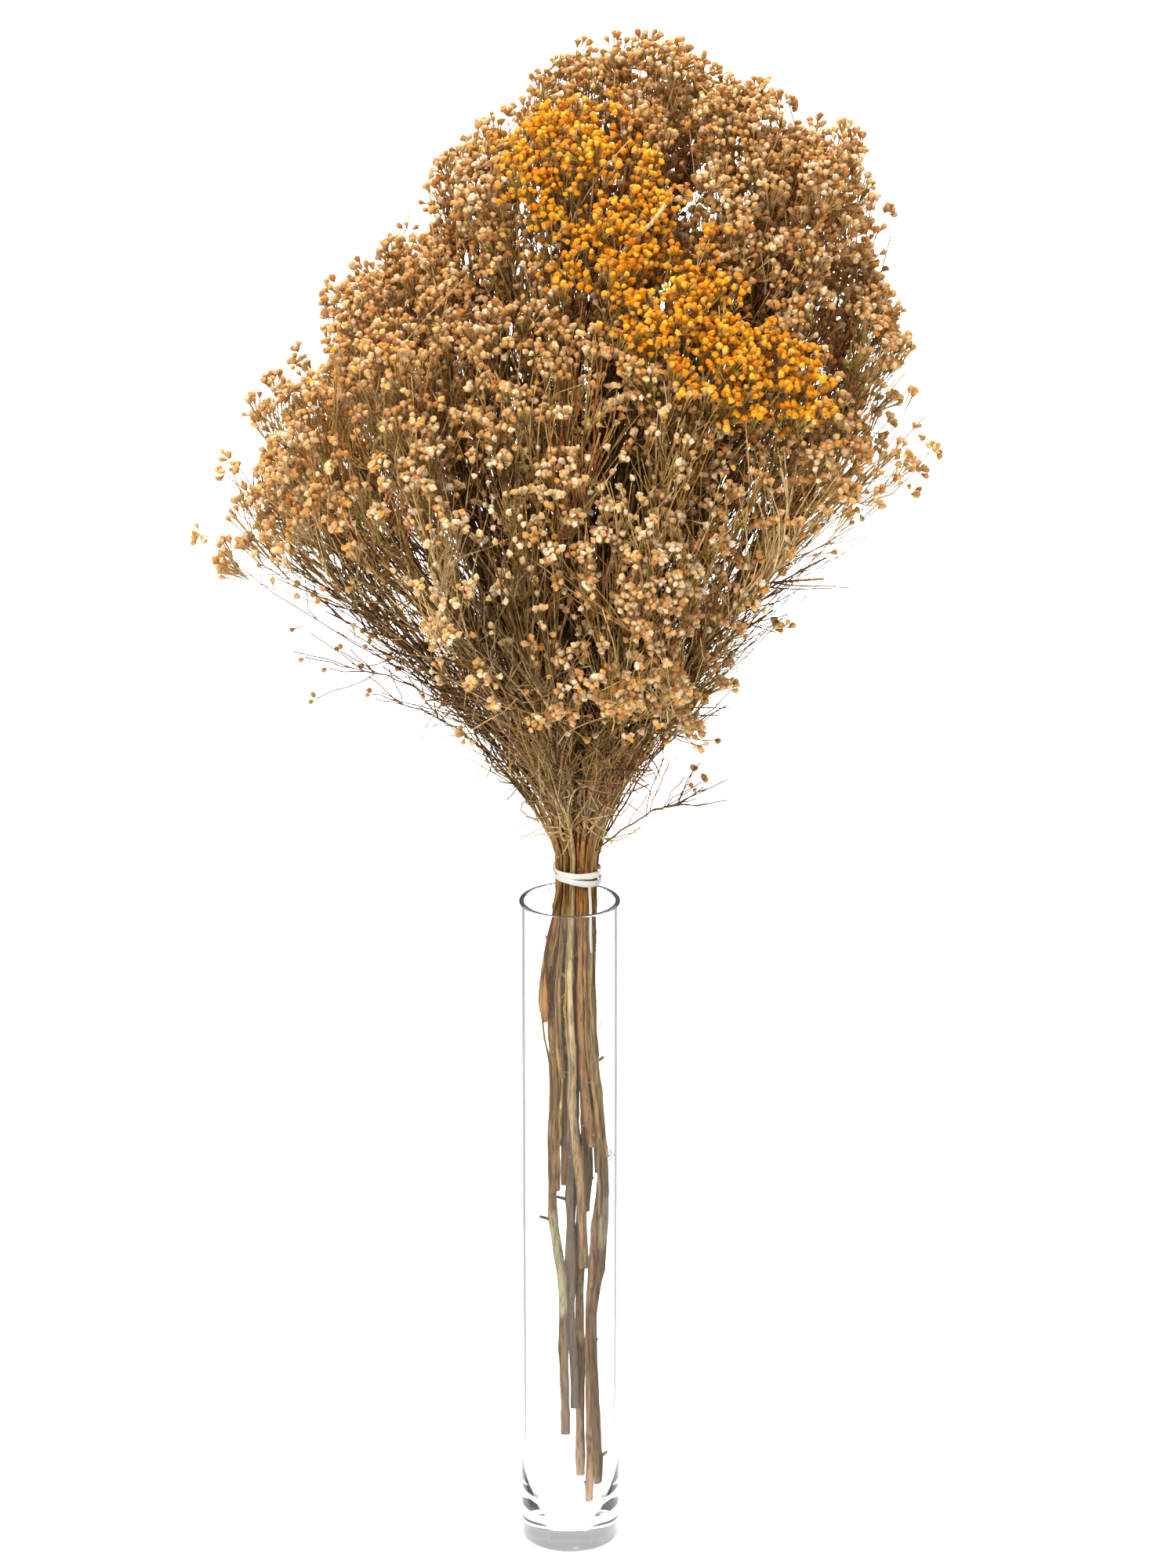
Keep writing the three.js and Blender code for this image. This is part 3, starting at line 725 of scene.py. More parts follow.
# Touching heads on short stalks that spread from the end of each strand; a clump is as wide as they need.
def growClumps(one, wood, heads):
    index = one["index"]
    count = len(index)
    loose = ramp(above(one["spots"], one["tops"])[index, 2], *clump["looseZ"])
    fewest, most = clump["heads"]
    numbers = random.integers(fewest, most + 1, count) * (1 + clump["more"] * loose)
    full = np.maximum(one["full"][index], clump["thinnest"])
    numbers = numbers * full * random.choice(clump["kinds"], count)
    numbers = np.maximum(clump["least"], numbers).astype(int)
    cluster = np.repeat(np.arange(count), numbers)
    order = np.concatenate([np.arange(n) for n in numbers])
    loose = loose[cluster]
    tight, wider = clump["width"]
    radius = (tight + wider * loose) * np.sqrt(order + 0.35) * between(clump["ragged"], len(order))
    turn = golden * order + random.uniform(0, clump["turn"], count)[cluster]
    offsets = np.stack([np.cos(turn), np.sin(turn)], -1) * (radius / one["scale"])[:, None]
    shallow, deeper = clump["deep"]
    deep = np.abs(random.normal(0, shallow + deeper * loose, len(order)))
    sinks = np.minimum(clump["dome"] * radius ** 2 + deep, clump["stalk"] - 4)
    own = index[cluster]
    middles = above(one["spots"][own] + offsets, one["tops"][own] - sinks)
    addTops(wood, heads, middles, one["lines"][cluster, -1], one["clumpTints"][own], one["tone"], 0.0)
    return len(order)


inner = {"share": 1.3, "spread": 0.55, "reach": (5, 20), "aged": 0.22}


# Older and browner heads deeper in the crown, on side stalks from the strands.
def growInner(one, wood, heads, outer):
    lines = one["lines"]
    count = round(inner["share"] * outer * float(one["full"].mean()) ** 2)
    own = random.integers(0, len(lines), count)
    knot = random.integers(3, strand["steps"] - 1, count)
    joint = lines[own, knot]
    way = unit(unit(lines[own, knot + 1] - joint) + random.normal(0, inner["spread"], (count, 3)))
    middles = joint + way * between(inner["reach"], (count, 1))
    addTops(wood, heads, middles, joint, one["clumpTints"][one["goal"][own]], one["tone"], inner["aged"])
    return count


riser = {
    "count": 36, "most": 1.15, "fewer": 0.85, "fewerZ": (680, 790),
    "along": (0.3, 1.0), "lift": 0.7, "spread": 0.32, "length": (26, 74), "over": 0.12, "shortest": 0.25,
    "steps": 4, "wave": 1.0, "thick": (0.38, 0.6), "taper": 0.35, "tone": (0.1, 0.25),
    "heads": (3, 9), "chance": 0.42, "headSpread": 0.7, "stalk": (3.5, 7), "aged": 0.05,
}


# Thin twigs that leave the strands just below the surface and stand up, each with a few heads.
def growRisers(one, wood, heads):
    lines = one["lines"]
    high = ramp(float(above(one["place"], one["reach"])[2]), *riser["fewerZ"])
    count = round(riser["count"] * (riser["most"] - riser["fewer"] * high))
    own = random.integers(0, len(lines), count)
    knot = random.integers(2, strand["steps"] - 1, count)
    foot = lines[own, knot]
    along = unit(lines[own, knot + 1] - foot)
    way = along * between(riser["along"], (count, 1)) + riser["lift"] * upward
    way = unit(way + random.normal(0, riser["spread"], (count, 3)))
    length = between(riser["length"], (count, 1))
    room = (depthAt(foot + way * length)[:, None] + length) / length - riser["over"]
    length = length * np.clip(room, riser["shortest"], 1)
    share = np.linspace(0, 1, riser["steps"])[None, :, None]
    bend = along[:, None] * (1 - share) * 0.5 + way[:, None] * (0.5 + 0.5 * share)
    path = foot[:, None] + bend * share * length[:, None]
    path = path + random.normal(0, riser["wave"], path.shape) * (share > 0)
    path[..., 1] = np.clip(path[..., 1], *crownLimits)
    thick = between(riser["thick"], (count, 1)) * (1 - riser["taper"] * share[0, :, 0])
    tones = np.clip(one["tone"] + random.normal(*riser["tone"], count), 0, 1)
    addTubes(wood, path, thick, 3, woodMarks(count, tones), close=False)
    numbers = random.integers(*riser["heads"], count) * (random.uniform(0, 1, count) < riser["chance"])
    owner = np.repeat(np.arange(count), numbers)
    joint = path[owner, -1]
    aside = unit(way[owner] + random.normal(0, riser["headSpread"], (len(owner), 3)))
    middles = joint + aside * between(riser["stalk"], (len(owner), 1))
    tints = one["clumpTints"][one["goal"][own[owner]]]
    addTops(wood, heads, middles, joint, tints, one["tone"], riser["aged"])
    return len(owner)


def growCorymb(one, wood, heads):
    layOutClumps(one)
    growBranch(one, wood)
    growStrands(one, wood)
    outer = growClumps(one, wood, heads)
    return outer + growInner(one, wood, heads, outer) + growRisers(one, wood, heads)


# Short stalks, each from a point on the twig to a small triangle under the head.
def addStalks(pile, joints, feet, radius, marks):
    side, other = acrossTubes(np.stack([joints, feet], 1))
    angles = 2 * np.pi * np.arange(3) / 3
    rim = np.cos(angles)[:, None] * side[:, :1] + np.sin(angles)[:, None] * other[:, :1]
    corners = np.concatenate([joints[:, None], feet[:, None] + radius * rim], 1)
    sheet = np.array([[0, 1, 2], [0, 2, 3], [0, 3, 1]])
    faces = (sheet[None] + 4 * np.arange(len(joints))[:, None, None]).reshape(-1, 3)
    pile.add(corners, [faces], np.repeat(marks, 4, axis=0))


# Spread of the colours of heads, and how much each tint of the crown adds: brown, cream and fawn.
headTints = {
    "tone": (0.52, 0.27), "toneBy": (0.1, 0.26, 0.12), "chance": 0.22, "chanceBy": (0.18, -0.08, -0.08),
    "freshChance": (0.68, 0.15), "freshMiddle": 0.4, "orange": (0.6, 1.0), "freshOrange": 1.8,
    "brown": (0.05, 0.16), "brownBy": (0.04, 0.0, 0.1), "brownest": 0.9,
}


# Heads with their stalks, coloured by where they are; aged ones are browner.
def addTops(wood, heads, middles, joint, shares, tone, aged):
    front, back = crownLimits
    kept = random.uniform(0, 1, len(middles)) > head["hollowing"] * insideAny(middles, hollows)
    kept = kept & (middles[:, 1] > front) & (middles[:, 1] < back)
    middles, joint, shares = middles[kept], joint[kept], shares[kept, 1:4]
    total = len(middles)
    fine = random.uniform(0, 1, total) < (head["detailed"] if aged < inner["aged"] else 0)
    ways = unit(middles - joint)
    sizes = head["radius"] * between(head["sizes"], total)
    feet = middles - ways * (sizes * head["foot"])[:, None]
    near = depthAt(middles) > -head["stray"]
    addStalks(wood, joint[near], feet[near], head["stalk"], woodMarks(int(near.sum()), tone))
    fresh = insideAny(middles, freshSpots)
    tones = np.clip(random.normal(*headTints["tone"], total) + shares @ headTints["toneBy"], 0, 1)
    byFresh, byMiddle = headTints["freshChance"]
    chance = headTints["chance"] + shares @ headTints["chanceBy"] + byFresh * fresh
    chance = chance + byMiddle * (fresh > headTints["freshMiddle"])
    orange = (random.uniform(0, 1, total) < chance) * between(headTints["orange"], total)
    orange = orange * (1 + headTints["freshOrange"] * fresh)
    brown, spread = headTints["brown"]
    brown = shares @ headTints["brownBy"] + random.normal(brown + aged, spread, total)
    brown = np.clip(brown, 0, headTints["brownest"])
    looks = (middles, ways, sizes, tones, orange, brown, near)
    for shapes, mask in ((fullShapes, fine), (plainShapes, ~fine)):
        addHeads(heads, shapes, *[values[mask] for values in looks])


# A stem wanders sideways below the band, least near the floor.
wandering = {
    "stem": 2.0, "shoot": 2.4, "least": 0.25, "growth": (30, 290), "held": (8, 38), "foot": (0.35, 50, 180),
}


# Sideways wander of a stem at its heights, with a kink at each knot; the band holds it straight.
def wander(heights, knots, amount):
    down = bunch["tie"][2] - heights
    least, *foot = wandering["foot"]
    slack = amount * (wandering["least"] + ramp(down, *wandering["growth"])) * ramp(down, *wandering["held"])
    slack = slack * (least + (1 - least) * ramp(heights, *foot))
    offsets = random.uniform(-1, 1, (2, len(knots)))
    return np.stack([np.interp(heights, knots, one) * slack for one in offsets] + [0 * heights], -1)


# Stems up to this one stand inside the others.
lastInner = 6
stalk = {
    "atTie": 1.6, "atCut": 2.6, "atTip": 0.85, "sides": 16, "lowStep": 4, "highStep": 8, "clear": 12,
    "knotGap": 42, "knotsBeyond": (30, 40), "knotShift": 10, "knotSwell": 0.45, "knotReach": 3.5,
    "tipLength": 45, "leftThin": 0.3, "leftRise": 1.5, "leftFrom": (15, 55),
    "ribs": [(5, 0.08, 1), (8, 0.05, -1)], "twist": 30, "swells": [(95, 0.05, 2), (230, 0.04, 1)],
    "light": (0.3, 0.95), "innerLight": (0.2, 0.45), "highLight": 0.8, "old": (60, 250, 0.85),
    # The cut face's marks: tone, greying, peeled, and painted light at half, partly in shade.
    "peelEdge": 6, "slant": 0.6, "cutMarks": (0.5, 0.2, 0.8, 0.5),
}


# The stem itself: cut, kinked and ribbed below, thinner above the tie, with a few peeled stretches.
def growStem(stem, wood, top):
    place = places[stem]
    cut = cutHeights[stem]
    tie = bunch["tie"][2]
    clear = stalk["clear"]
    lowHeights = np.linspace(cut, tie - clear, max(8, round((tie - clear - cut) / stalk["lowStep"])))
    farAbove = np.linspace(clear, top, round(top / stalk["highStep"]))
    beyondLow, beyondHigh = stalk["knotsBeyond"]
    knots = np.arange(cut - beyondLow, tie + beyondHigh, stalk["knotGap"])
    knots = knots + random.uniform(-stalk["knotShift"], stalk["knotShift"], len(knots))
    lower = below(place, lowHeights) + wander(lowHeights, knots, wandering["stem"])
    points = np.concatenate([lower, above(place[None], farAbove)])
    heights = points[:, 2]
    down = ramp((tie - lowHeights) / bunch["thickening"])
    left = ramp(-stalk["leftRise"] * place[0]) * ramp(farAbove, *stalk["leftFrom"])
    thinning = (stalk["atTie"] - stalk["atTip"]) * np.exp(-(farAbove - clear) / stalk["tipLength"])
    radii = np.concatenate([
        stalk["atTie"] + (stalk["atCut"] - stalk["atTie"]) * down,
        (stalk["atTip"] + thinning) * (1 - stalk["leftThin"] * left),
    ])
    for knot in knots:
        swell = stalk["knotSwell"] * np.exp(-(((heights - knot) / stalk["knotReach"]) ** 2))
        radii = radii + swell * (heights < tie - clear)
    angles = 2 * np.pi * np.arange(stalk["sides"]) / stalk["sides"]
    at = heights / 1000
    twist = stalk["twist"] * at[:, None] + stem
    ribs = 1 + sum(depth * np.sin(count * angles[None] + way * twist) for count, depth, way in stalk["ribs"])
    swell = 1 + sum(depth * np.sin(rate * at + shift * stem) for rate, depth, shift in stalk["swells"])
    # Painted light and shade: each stem gets a random lit share, the inner ones a low share as in the shade of
    # the bundle, and above the tie all are painted mostly lit.
    light = between(stalk["light" if stem > lastInner else "innerLight"])
    high, low, oldest = stalk["old"]
    marks = np.zeros((1, len(points), 4))
    marks[..., 0] = stemTones[stem]
    marks[..., 1] = np.clip((tie - high - heights) / (low - high), 0, oldest)
    marks[..., 3] = np.maximum(light, stalk["highLight"] * (heights > tie + stalk["leftFrom"][0]))
    for start, end in peeledOf.get(stem, []):
        peeled = ramp(heights, start, start + stalk["peelEdge"]) * ramp(heights, end, end - stalk["peelEdge"])
        marks[0, :, 2] = np.maximum(marks[0, :, 2], peeled)
    radii = radii[:, None] * ribs * swell[:, None]
    rings = addTubes(wood, points[None], radii[None], stalk["sides"], marks)
    addCutEnd(wood, rings[0, 0], angles, marks[0, :1])
    fromCut, fromTie = stub["clear"]
    for knot in knots[(knots > cut + fromCut) & (knots < tie - fromTie)]:
        if random.uniform() < stub["chance"]:
            addStub(wood, points[np.argmin(np.abs(heights - knot))], stemTones[stem])


# The cut end: a pale face, slanted.
def addCutEnd(wood, ring, angles, marks):
    ends = ring - stalk["slant"] * upward * (1 + np.cos(angles))[:, None]
    at = np.arange(len(ring))
    after = (at + 1) % len(ring)
    skirt = np.stack([at, at + len(ring), after + len(ring), after], -1)
    wood.add(np.concatenate([ring, ends]), [skirt], marks)
    wood.add(ends, [at[::-1][None]], np.array(stalk["cutMarks"]))


stub = {
    "chance": 0.35, "clear": (8, 20), "up": (0.5, 1.4), "reach": (4, 9),
    # Stub marks: greying, and painted light at 0.3, so stubs are painted mostly in shade.
    "thick": [1.3, 1.1, 0.9], "marks": (0.3, 0.3),
}


# The short stub of a cut twig at a knot.
def addStub(wood, foot, tone):
    way = unit(np.append(random.normal(0, 1, 2), between(stub["up"])))
    line = foot + way * np.array([0.0, 0.5, 1.0])[:, None] * between(stub["reach"])
    addTubes(wood, line[None], np.array([stub["thick"]]), 6, woodMarks(1, tone, *stub["marks"]))


shoot = {
    "count": 4, "clear": 5, "beyond": 30, "topSteps": 10, "old": 0.1, "gap": 0.29, "outermost": 1.16,
    "length": (25, 230), "step": 7, "knotGap": 26, "top": (50, 140), "shift": 0.25, "thick": (0.55, 1.0),
    "taper": (1.1, 0.6), "light": (0.2, 0.9),
}


# Thin shoots that run beside the stem, from below the tie up into the crown.
def growShoots(stem, wood):
    tie = bunch["tie"][2]
    high = tie - stalk["clear"]
    for _ in range(shoot["count"]):
        turn = random.uniform(0, 2 * np.pi)
        place = places[stem] + np.array([math.cos(turn), math.sin(turn)]) * shoot["gap"]
        place = place * min(1.0, shoot["outermost"] / max(np.linalg.norm(place), 1e-6))
        cut = max(cutHeights[stem] + shoot["clear"], tie - between(shoot["length"]))
        heights = np.linspace(cut, high, max(4, round((high - cut) / shoot["step"])))
        knots = np.arange(cut - shoot["beyond"], tie + shoot["beyond"], shoot["knotGap"])
        far = np.linspace(stalk["clear"], between(shoot["top"]), shoot["topSteps"])
        lower = below(place, heights) + wander(heights, knots, wandering["shoot"])
        path = np.concatenate([lower, above(place[None], far)])
        path[:, :2] += random.normal(0, shoot["shift"], (len(path), 2))
        thick = between(shoot["thick"]) * np.linspace(*shoot["taper"], len(path))
        marks = woodMarks(1, random.uniform(), shoot["old"], between(shoot["light"]))
        addTubes(wood, path[None], thick[None], 6, marks)


fibre = {
    "count": 9, "low": 230, "straight": 405, "foot": 2.0, "steps": 7,
    # Fibre marks: greying, and painted light at 0.6, partly in shade.
    "flat": 0.6, "curl": (2, 5), "reach": (3, 8), "thick": 0.28, "marks": (0.2, 0.6),
}


# Curly dry fibres that stick out from the stem.
def growFibres(stem, wood):
    count = fibre["count"]
    heights = random.uniform(max(cutHeights[stem], fibre["low"]), bunch["tie"][2] + 10, count)
    lower = np.minimum(heights, fibre["straight"])
    foot = below(places[stem], lower) + upward * (heights - lower)[:, None]
    outward = unit(np.stack([*random.normal(0, 1, (2, count)), random.normal(0, fibre["flat"], count)], -1))
    foot = foot + outward * fibre["foot"]
    share = np.linspace(0, 1, fibre["steps"])[None, :, None]
    curl = between(fibre["curl"], (count, 1, 1)) * share
    other = unit(np.cross(outward, random.normal(0, 1, outward.shape)))
    reach = between(fibre["reach"], (count, 1, 1))
    coil = outward[:, None] * np.sin(curl) * 0.5 + other[:, None] * (1 - np.cos(curl)) * 0.5
    path = foot[:, None] + reach * coil + upward * share * reach
    marks = woodMarks(count, random.uniform(0, 1, count), *fibre["marks"])
    addTubes(wood, path, np.full((count, fibre["steps"]), fibre["thick"]), 3, marks, close=False)


tangle = {
    "count": 12, "out": (0.95, 1.25), "far": (24, 85), "up": 0.9, "steps": 8, "reach": (14, 34),
    "bend": (0.2, 0.55), "waves": (2.5, 5.5), "tone": (0.3, 1), "old": 0.4, "peeled": 0.6,
    "thick": (0.35, 0.6), "taper": 0.6,
}


# Short crooked twigs that wind about the neck of the bunch.
def growTangle(stem, wood):
    count = tangle["count"]
    place = places[stem] * between(tangle["out"], (count, 1))
    foot = above(place, between(tangle["far"], count))
    way = unit(random.normal(0, 1, (count, 3)) + tangle["up"] * upward)
    other = unit(np.cross(way, random.normal(0, 1, (count, 3))))
    share = np.linspace(0, 1, tangle["steps"])[None, :, None]
    reach = between(tangle["reach"], (count, 1, 1))
    bend = between(tangle["bend"], (count, 1, 1))
    bend = bend * np.sin(share * between(tangle["waves"], (count, 1, 1)))
    path = foot[:, None] + way[:, None] * reach * share + other[:, None] * reach * bend
    tones = between(tangle["tone"], count)
    marks = woodMarks(count, tones, random.uniform(0, tangle["old"], count))
    marks[:, 2] = random.uniform(0, tangle["peeled"], count)
    thick = between(tangle["thick"], (count, 1)) * np.linspace(1, tangle["taper"], tangle["steps"])
    addTubes(wood, path, thick, 4, marks, close=False)


twig = {
    "count": (82, 46), "asideRise": (1.3, 0.2), "leftRise": (2, 0.2), "glow": 1.4, "asideFewer": 0.4,
    "start": (26, 130), "startShare": 0.85, "aside": (0.34, 0.22), "out": (0.9, 1.12), "outermost": 1.22,
    "least": 30, "bareReach": (0.5, 0.98), "reach": (0.35, 0.93), "steps": 7, "ease": 1.1,
    "wave": (3.2, 2), "thick": (0.3, 0.5), "taper": 0.5, "old": 0.7, "light": (0.15, 0.85),
    "sideShade": 0.25, "innerLight": (0.5, 0.4), "neck": (40, 120), "peeled": (0.4, 0.15),
    "neckLight": 0.7,
}


# Bare side twigs, each with finer ones, that thicken the lower part of the bunch.
def growTwigs(stem, wood, top):
    place = places[stem]
    outer = stem > lastInner
    slope, start = twig["asideRise"]
    aside = float(ramp(slope * abs(place[0]) - start))
    slope, start = twig["leftRise"]
    leftward = float(ramp(-slope * place[0] - start))
    count = round(twig["count"][outer] * (1 - twig["asideFewer"] * aside))
    first, last = twig["start"]
    fromFar = random.uniform(first, min(top * twig["startShare"], last), count)
    out = random.normal(0, twig["aside"][outer], (count, 2))
    toPlace = place * between(twig["out"], (count, 1)) + out
    length = np.linalg.norm(toPlace, axis=1, keepdims=True)
    toPlace = toPlace * np.minimum(1, twig["outermost"] / np.maximum(length, 1e-6))
    reach, _, bare = crownAt(toPlace)
    bareReach = between(twig["bareReach"], count)
    toFar = np.where(bare, bareReach, between(twig["reach"], count)) * reach
    toFar = np.maximum(fromFar + twig["least"], toFar)
    wave, asideWave = twig["wave"]
    own = np.repeat(place[None], count, 0)
    lines = growthLines(own, fromFar, toPlace, toFar, twig["steps"], twig["ease"], wave + asideWave * aside)
    share = np.linspace(0, 1, twig["steps"])
    glow = random.uniform(0, 1, (count, 1)) ** twig["glow"]
    # Twigs of the inner stems thicken outwards, so that they close the depth of the crown.
    thin, more = twig["thick"]
    thick = (thin + more * glow) * (1 - twig["taper"] * share) * (1 + (not outer) * share)
    tones = random.uniform(0, 1, count)
    old = random.uniform(0, twig["old"], count)
    marks = np.repeat(woodMarks(count, tones, old)[:, None], twig["steps"], axis=1)
    # Painted light and shade: few twigs are painted lit, more so the thicker ones; twigs at the sides and on
    # the left are darker, and those of the inner stems darkest midway.
    least, more = twig["light"]
    marks[..., 3] = (least + more * glow) * (1 - twig["sideShade"] * (aside + leftward))
    if not outer:
        most, less = twig["innerLight"]
        marks[..., 3] = most - less * np.sin(np.pi * share)
    # Pale, peeled wood about the neck, where the twigs are also painted lit.
    neck = 1 - ramp(fromFar[:, None] + (toFar - fromFar)[:, None] * share, *twig["neck"])
    peeled, asidePeeled = twig["peeled"]
    marks[..., 2] = (peeled + asidePeeled * aside) * neck
    marks[..., 3] = np.maximum(marks[..., 3], twig["neckLight"] * neck)
    addTubes(wood, lines, thick, 3, marks, close=False)
    growFiner(wood, lines, aside, outer, tones, old)


# Paths of twigs that leave along their ways and bend a little back to the run of what they grow from.
def bentTwigs(feet, ways, along, reach, settings):
    share = np.linspace(0, 1, settings["steps"])[None, :, None]
    path = feet[:, None] + ways[:, None] * reach * share
    path = path + along[:, None] * reach * settings["lift"] * share ** 2
    return path + random.normal(0, settings["wave"], path.shape) * (share > 0)


finer = {
    "count": 3, "open": (0.3, 0.7, 0.5), "reach": (14, 48), "steps": 4, "lift": 0.25, "wave": 0.7,
    "thick": (0.22, 0.38), "taper": 0.5, "innerLight": 0.3,
}


# Finer twigs from along each side twig.
def growFiner(wood, lines, aside, outer, tones, old):
    parent = np.repeat(np.arange(len(lines)), finer["count"] + (aside > 0.5))
    count = len(parent)
    knot = random.integers(2, twig["steps"] - 1, count)
    start = lines[parent, knot]
    along = unit(lines[parent, knot + 1] - start)
    sideways = unit(np.cross(along, random.normal(0, 1, along.shape)))
    least, most, more = finer["open"]
    way = unit(along + sideways * random.uniform(least, most + more * aside, (count, 1)))
    reach = between(finer["reach"], (count, 1, 1))
    share = np.linspace(0, 1, finer["steps"])
    path = bentTwigs(start, way, along, reach, finer)
    thick = between(finer["thick"], (count, 1)) * (1 - finer["taper"] * share)
    # Finer twigs of the inner stems are painted in shade.
    marks = woodMarks(count, tones[parent], old[parent], 1.0 if outer else finer["innerLight"])
    addTubes(wood, path, thick * (1 if outer else 2), 3, marks, close=False)


# Bare sprigs that stand out from the bunch: points across and up from the tie, how far forward, and heads.
sprigs = [
    ([(-7, 8), (-19, 27), (-25, 43), (-41, 66), (-59, 82), (-72, 91), (-85, 99), (-98, 103), (-110, 108)],
     -6, 5),
    ([(-6, 10), (-15, 34), (-32, 74), (-46, 88), (-63, 102), (-85, 113), (-111, 125), (-132, 129)], -14, 9),
    ([(-5, 12), (-20, 55), (-40, 84), (-70, 112), (-96, 134), (-120, 158)], 8, 9),
    ([(-6, 10), (-20, 48), (-44, 80), (-74, 106), (-104, 124), (-130, 142)], 14, 10),
    ([(-6, 10), (-22, 50), (-48, 86), (-80, 118), (-112, 142), (-142, 158)], -4, 12),
    ([(-6, 10), (-24, 56), (-52, 94), (-88, 130), (-122, 160), (-152, 182)], -10, 12),
    ([(-6, 10), (-26, 60), (-58, 104), (-96, 142), (-130, 172), (-158, 200)], 4, 12),
    ([(7, 8), (12, 18), (25, 43), (35, 64), (46, 80), (59, 92), (73, 97)], -18, 10),
    ([(6, 8), (9, 15), (25, 34), (42, 46), (51, 48), (60, 52)], -24, 7),
    ([(7, 12), (24, 60), (48, 104), (70, 128), (88, 150)], 6, 8),
]
# Sprig marks give tone, greying and painted light: the sprigs and their twigs are painted about half in shade.
sprig = {
    "knots": 26, "forward": 0.3, "thick": (0.75, 0.4), "marks": (0.3, 0.7, 0.4), "twigs": 14, "bare": 9,
    "spread": 0.5, "up": 0.35, "reach": (8, 30), "steps": 5, "lift": 0.3, "wave": 0.5, "twigThick": 0.4,
    "tone": (0, 0.6), "twigMarks": (0.5, 0.5), "stalk": 3.0,
    "heads": [(1.4, 2.0), (0.2, 0.7), (0, 0.8), (0.1, 0.5)],
}


# A bare sprig: its own stem, side twigs on the outer half, and a few small heads.
def growSprig(points, forward, tops, wood, heads):
    at = np.linspace(0, 1, sprig["knots"])
    last = sprig["knots"] - 1
    across, up = throughKnots(points, sprig["knots"]).T
    path = roundOff(np.stack([across, forward * ramp(2 * at), up], -1))
    path = path + bunch["tie"] + random.normal(0, sprig["wave"], path.shape) * at[:, None]
    thick, taper = sprig["thick"]
    addTubes(wood, path[None], (thick - taper * at)[None], 5, woodMarks(1, *sprig["marks"]))
    count = sprig["twigs"]
    knot = random.integers(sprig["bare"], last, count)
    along = unit(path[np.minimum(knot + 1, last)] - path[knot - 1])
    way = unit(along + random.normal(0, sprig["spread"], (count, 3)) + sprig["up"] * upward)
    reach = between(sprig["reach"], (count, 1, 1))
    twigs = bentTwigs(path[knot], way, along, reach, sprig)
    marks = woodMarks(count, between(sprig["tone"], count), *sprig["twigMarks"])
    addTubes(wood, twigs, np.full(twigs.shape[:2], sprig["twigThick"]), 3, marks, close=False)
    owner = random.integers(0, count, tops)
    joint = twigs[owner, -1]
    middles = joint + unit(way[owner] + random.normal(0, sprig["spread"], (tops, 3))) * sprig["stalk"]
    looks = [random.uniform(low, high, tops) for low, high in sprig["heads"]]
    addHeads(heads, fullShapes, middles, unit(middles - joint), *looks, np.ones(tops, bool))


# One thin shoot that bows out on the left of the bundle, inside the vase, from the tie down.
loop = {
    "knots": [
        (-9, -7, -6), (-12.5, -9, -18), (-17, -9, -35), (-19, -8, -50), (-17.5, -8, -67), (-13, -9, -86),
        (-7, -9, -102),
    ],
    # Its marks: tone, greying, and painted light at 0.4, so it is painted partly in shade.
    "side": (1, 0.4), "steps": 24, "thick": 0.9, "marks": (0.02, 0.2, 0.4),
}


def growLoop(wood):
    path = roundOff(throughKnots(loop["knots"], loop["steps"])) + bunch["tie"]
    thick = np.full((1, loop["steps"]), loop["thick"])
    addTubes(wood, path[None], thick, 6, woodMarks(1, *loop["marks"]))


# A pale cut stub among the orange heads.
paleStub = {
    "line": [(30, -6, 784), (45, -16, 802), (53, -14, 812)], "thick": [1.3, 1.2, 1.1],
    "near": (40, -12, 799), "marks": [0.85, 0.1, 0.25, 1.0],
}


def growPaleStub(wood):
    line = np.array(paleStub["line"], float)
    addTubes(wood, line[None], np.array([paleStub["thick"]]), 8, np.array([paleStub["marks"]]))


loopStem = int(np.argmin(places @ loop["side"]))
paleStem = min(corymbs, key=lambda one: np.linalg.norm(one["tip"] - paleStub["near"]))["stem"]
stemTones = random.permutation(np.linspace(0, 1, len(places)))
# Heights between which the bark has come off, by stem.
peeledOf = {17: [(183, 221)], 11: [(138, 208)], 8: [(118, 126)]}
shadeDepth = 0.7

total = 0
for stem in range(len(places)):
    node = "spray_%02d" % (stem + 1)
    mine = [one for one in corymbs if one["stem"] == stem]
    top = max([bunch["forkLow"]] + [one["fork"] for one in mine]) + stalk["clear"]
    wood, heads = Pile(), Pile()
    growStem(stem, wood, top)
    growShoots(stem, wood)
    growFibres(stem, wood)
    growTangle(stem, wood)
    for points, forward, tops in sprigs:
        outward = np.array([points[-1][0], sprig["forward"] * forward])
        if np.argmax(places @ outward) == stem:
            growSprig(points, forward, tops, wood, heads)
    growTwigs(stem, wood, top)
    for one in mine:
        total += growCorymb(one, wood, heads)
    if stem == loopStem:
        growLoop(wood)
    if stem == paleStem:
        growPaleStub(wood)
    # Painted shade: the wood inside the shade balls is painted darker.
    for corners, marks in zip(wood.corners, wood.marks):
        marks[:, 3] *= 1 - shadeDepth * insideAny(corners, shades)
    woodPiece = wood.make("spray%02dWood" % (stem + 1), bark)
    headPiece = heads.make("spray%02dHeads" % (stem + 1), bractPaper, smooth=False)
    for piece in (woodPiece, headPiece):
        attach(piece, "root")
        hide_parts(node)
print("sprays grown, heads:", total)

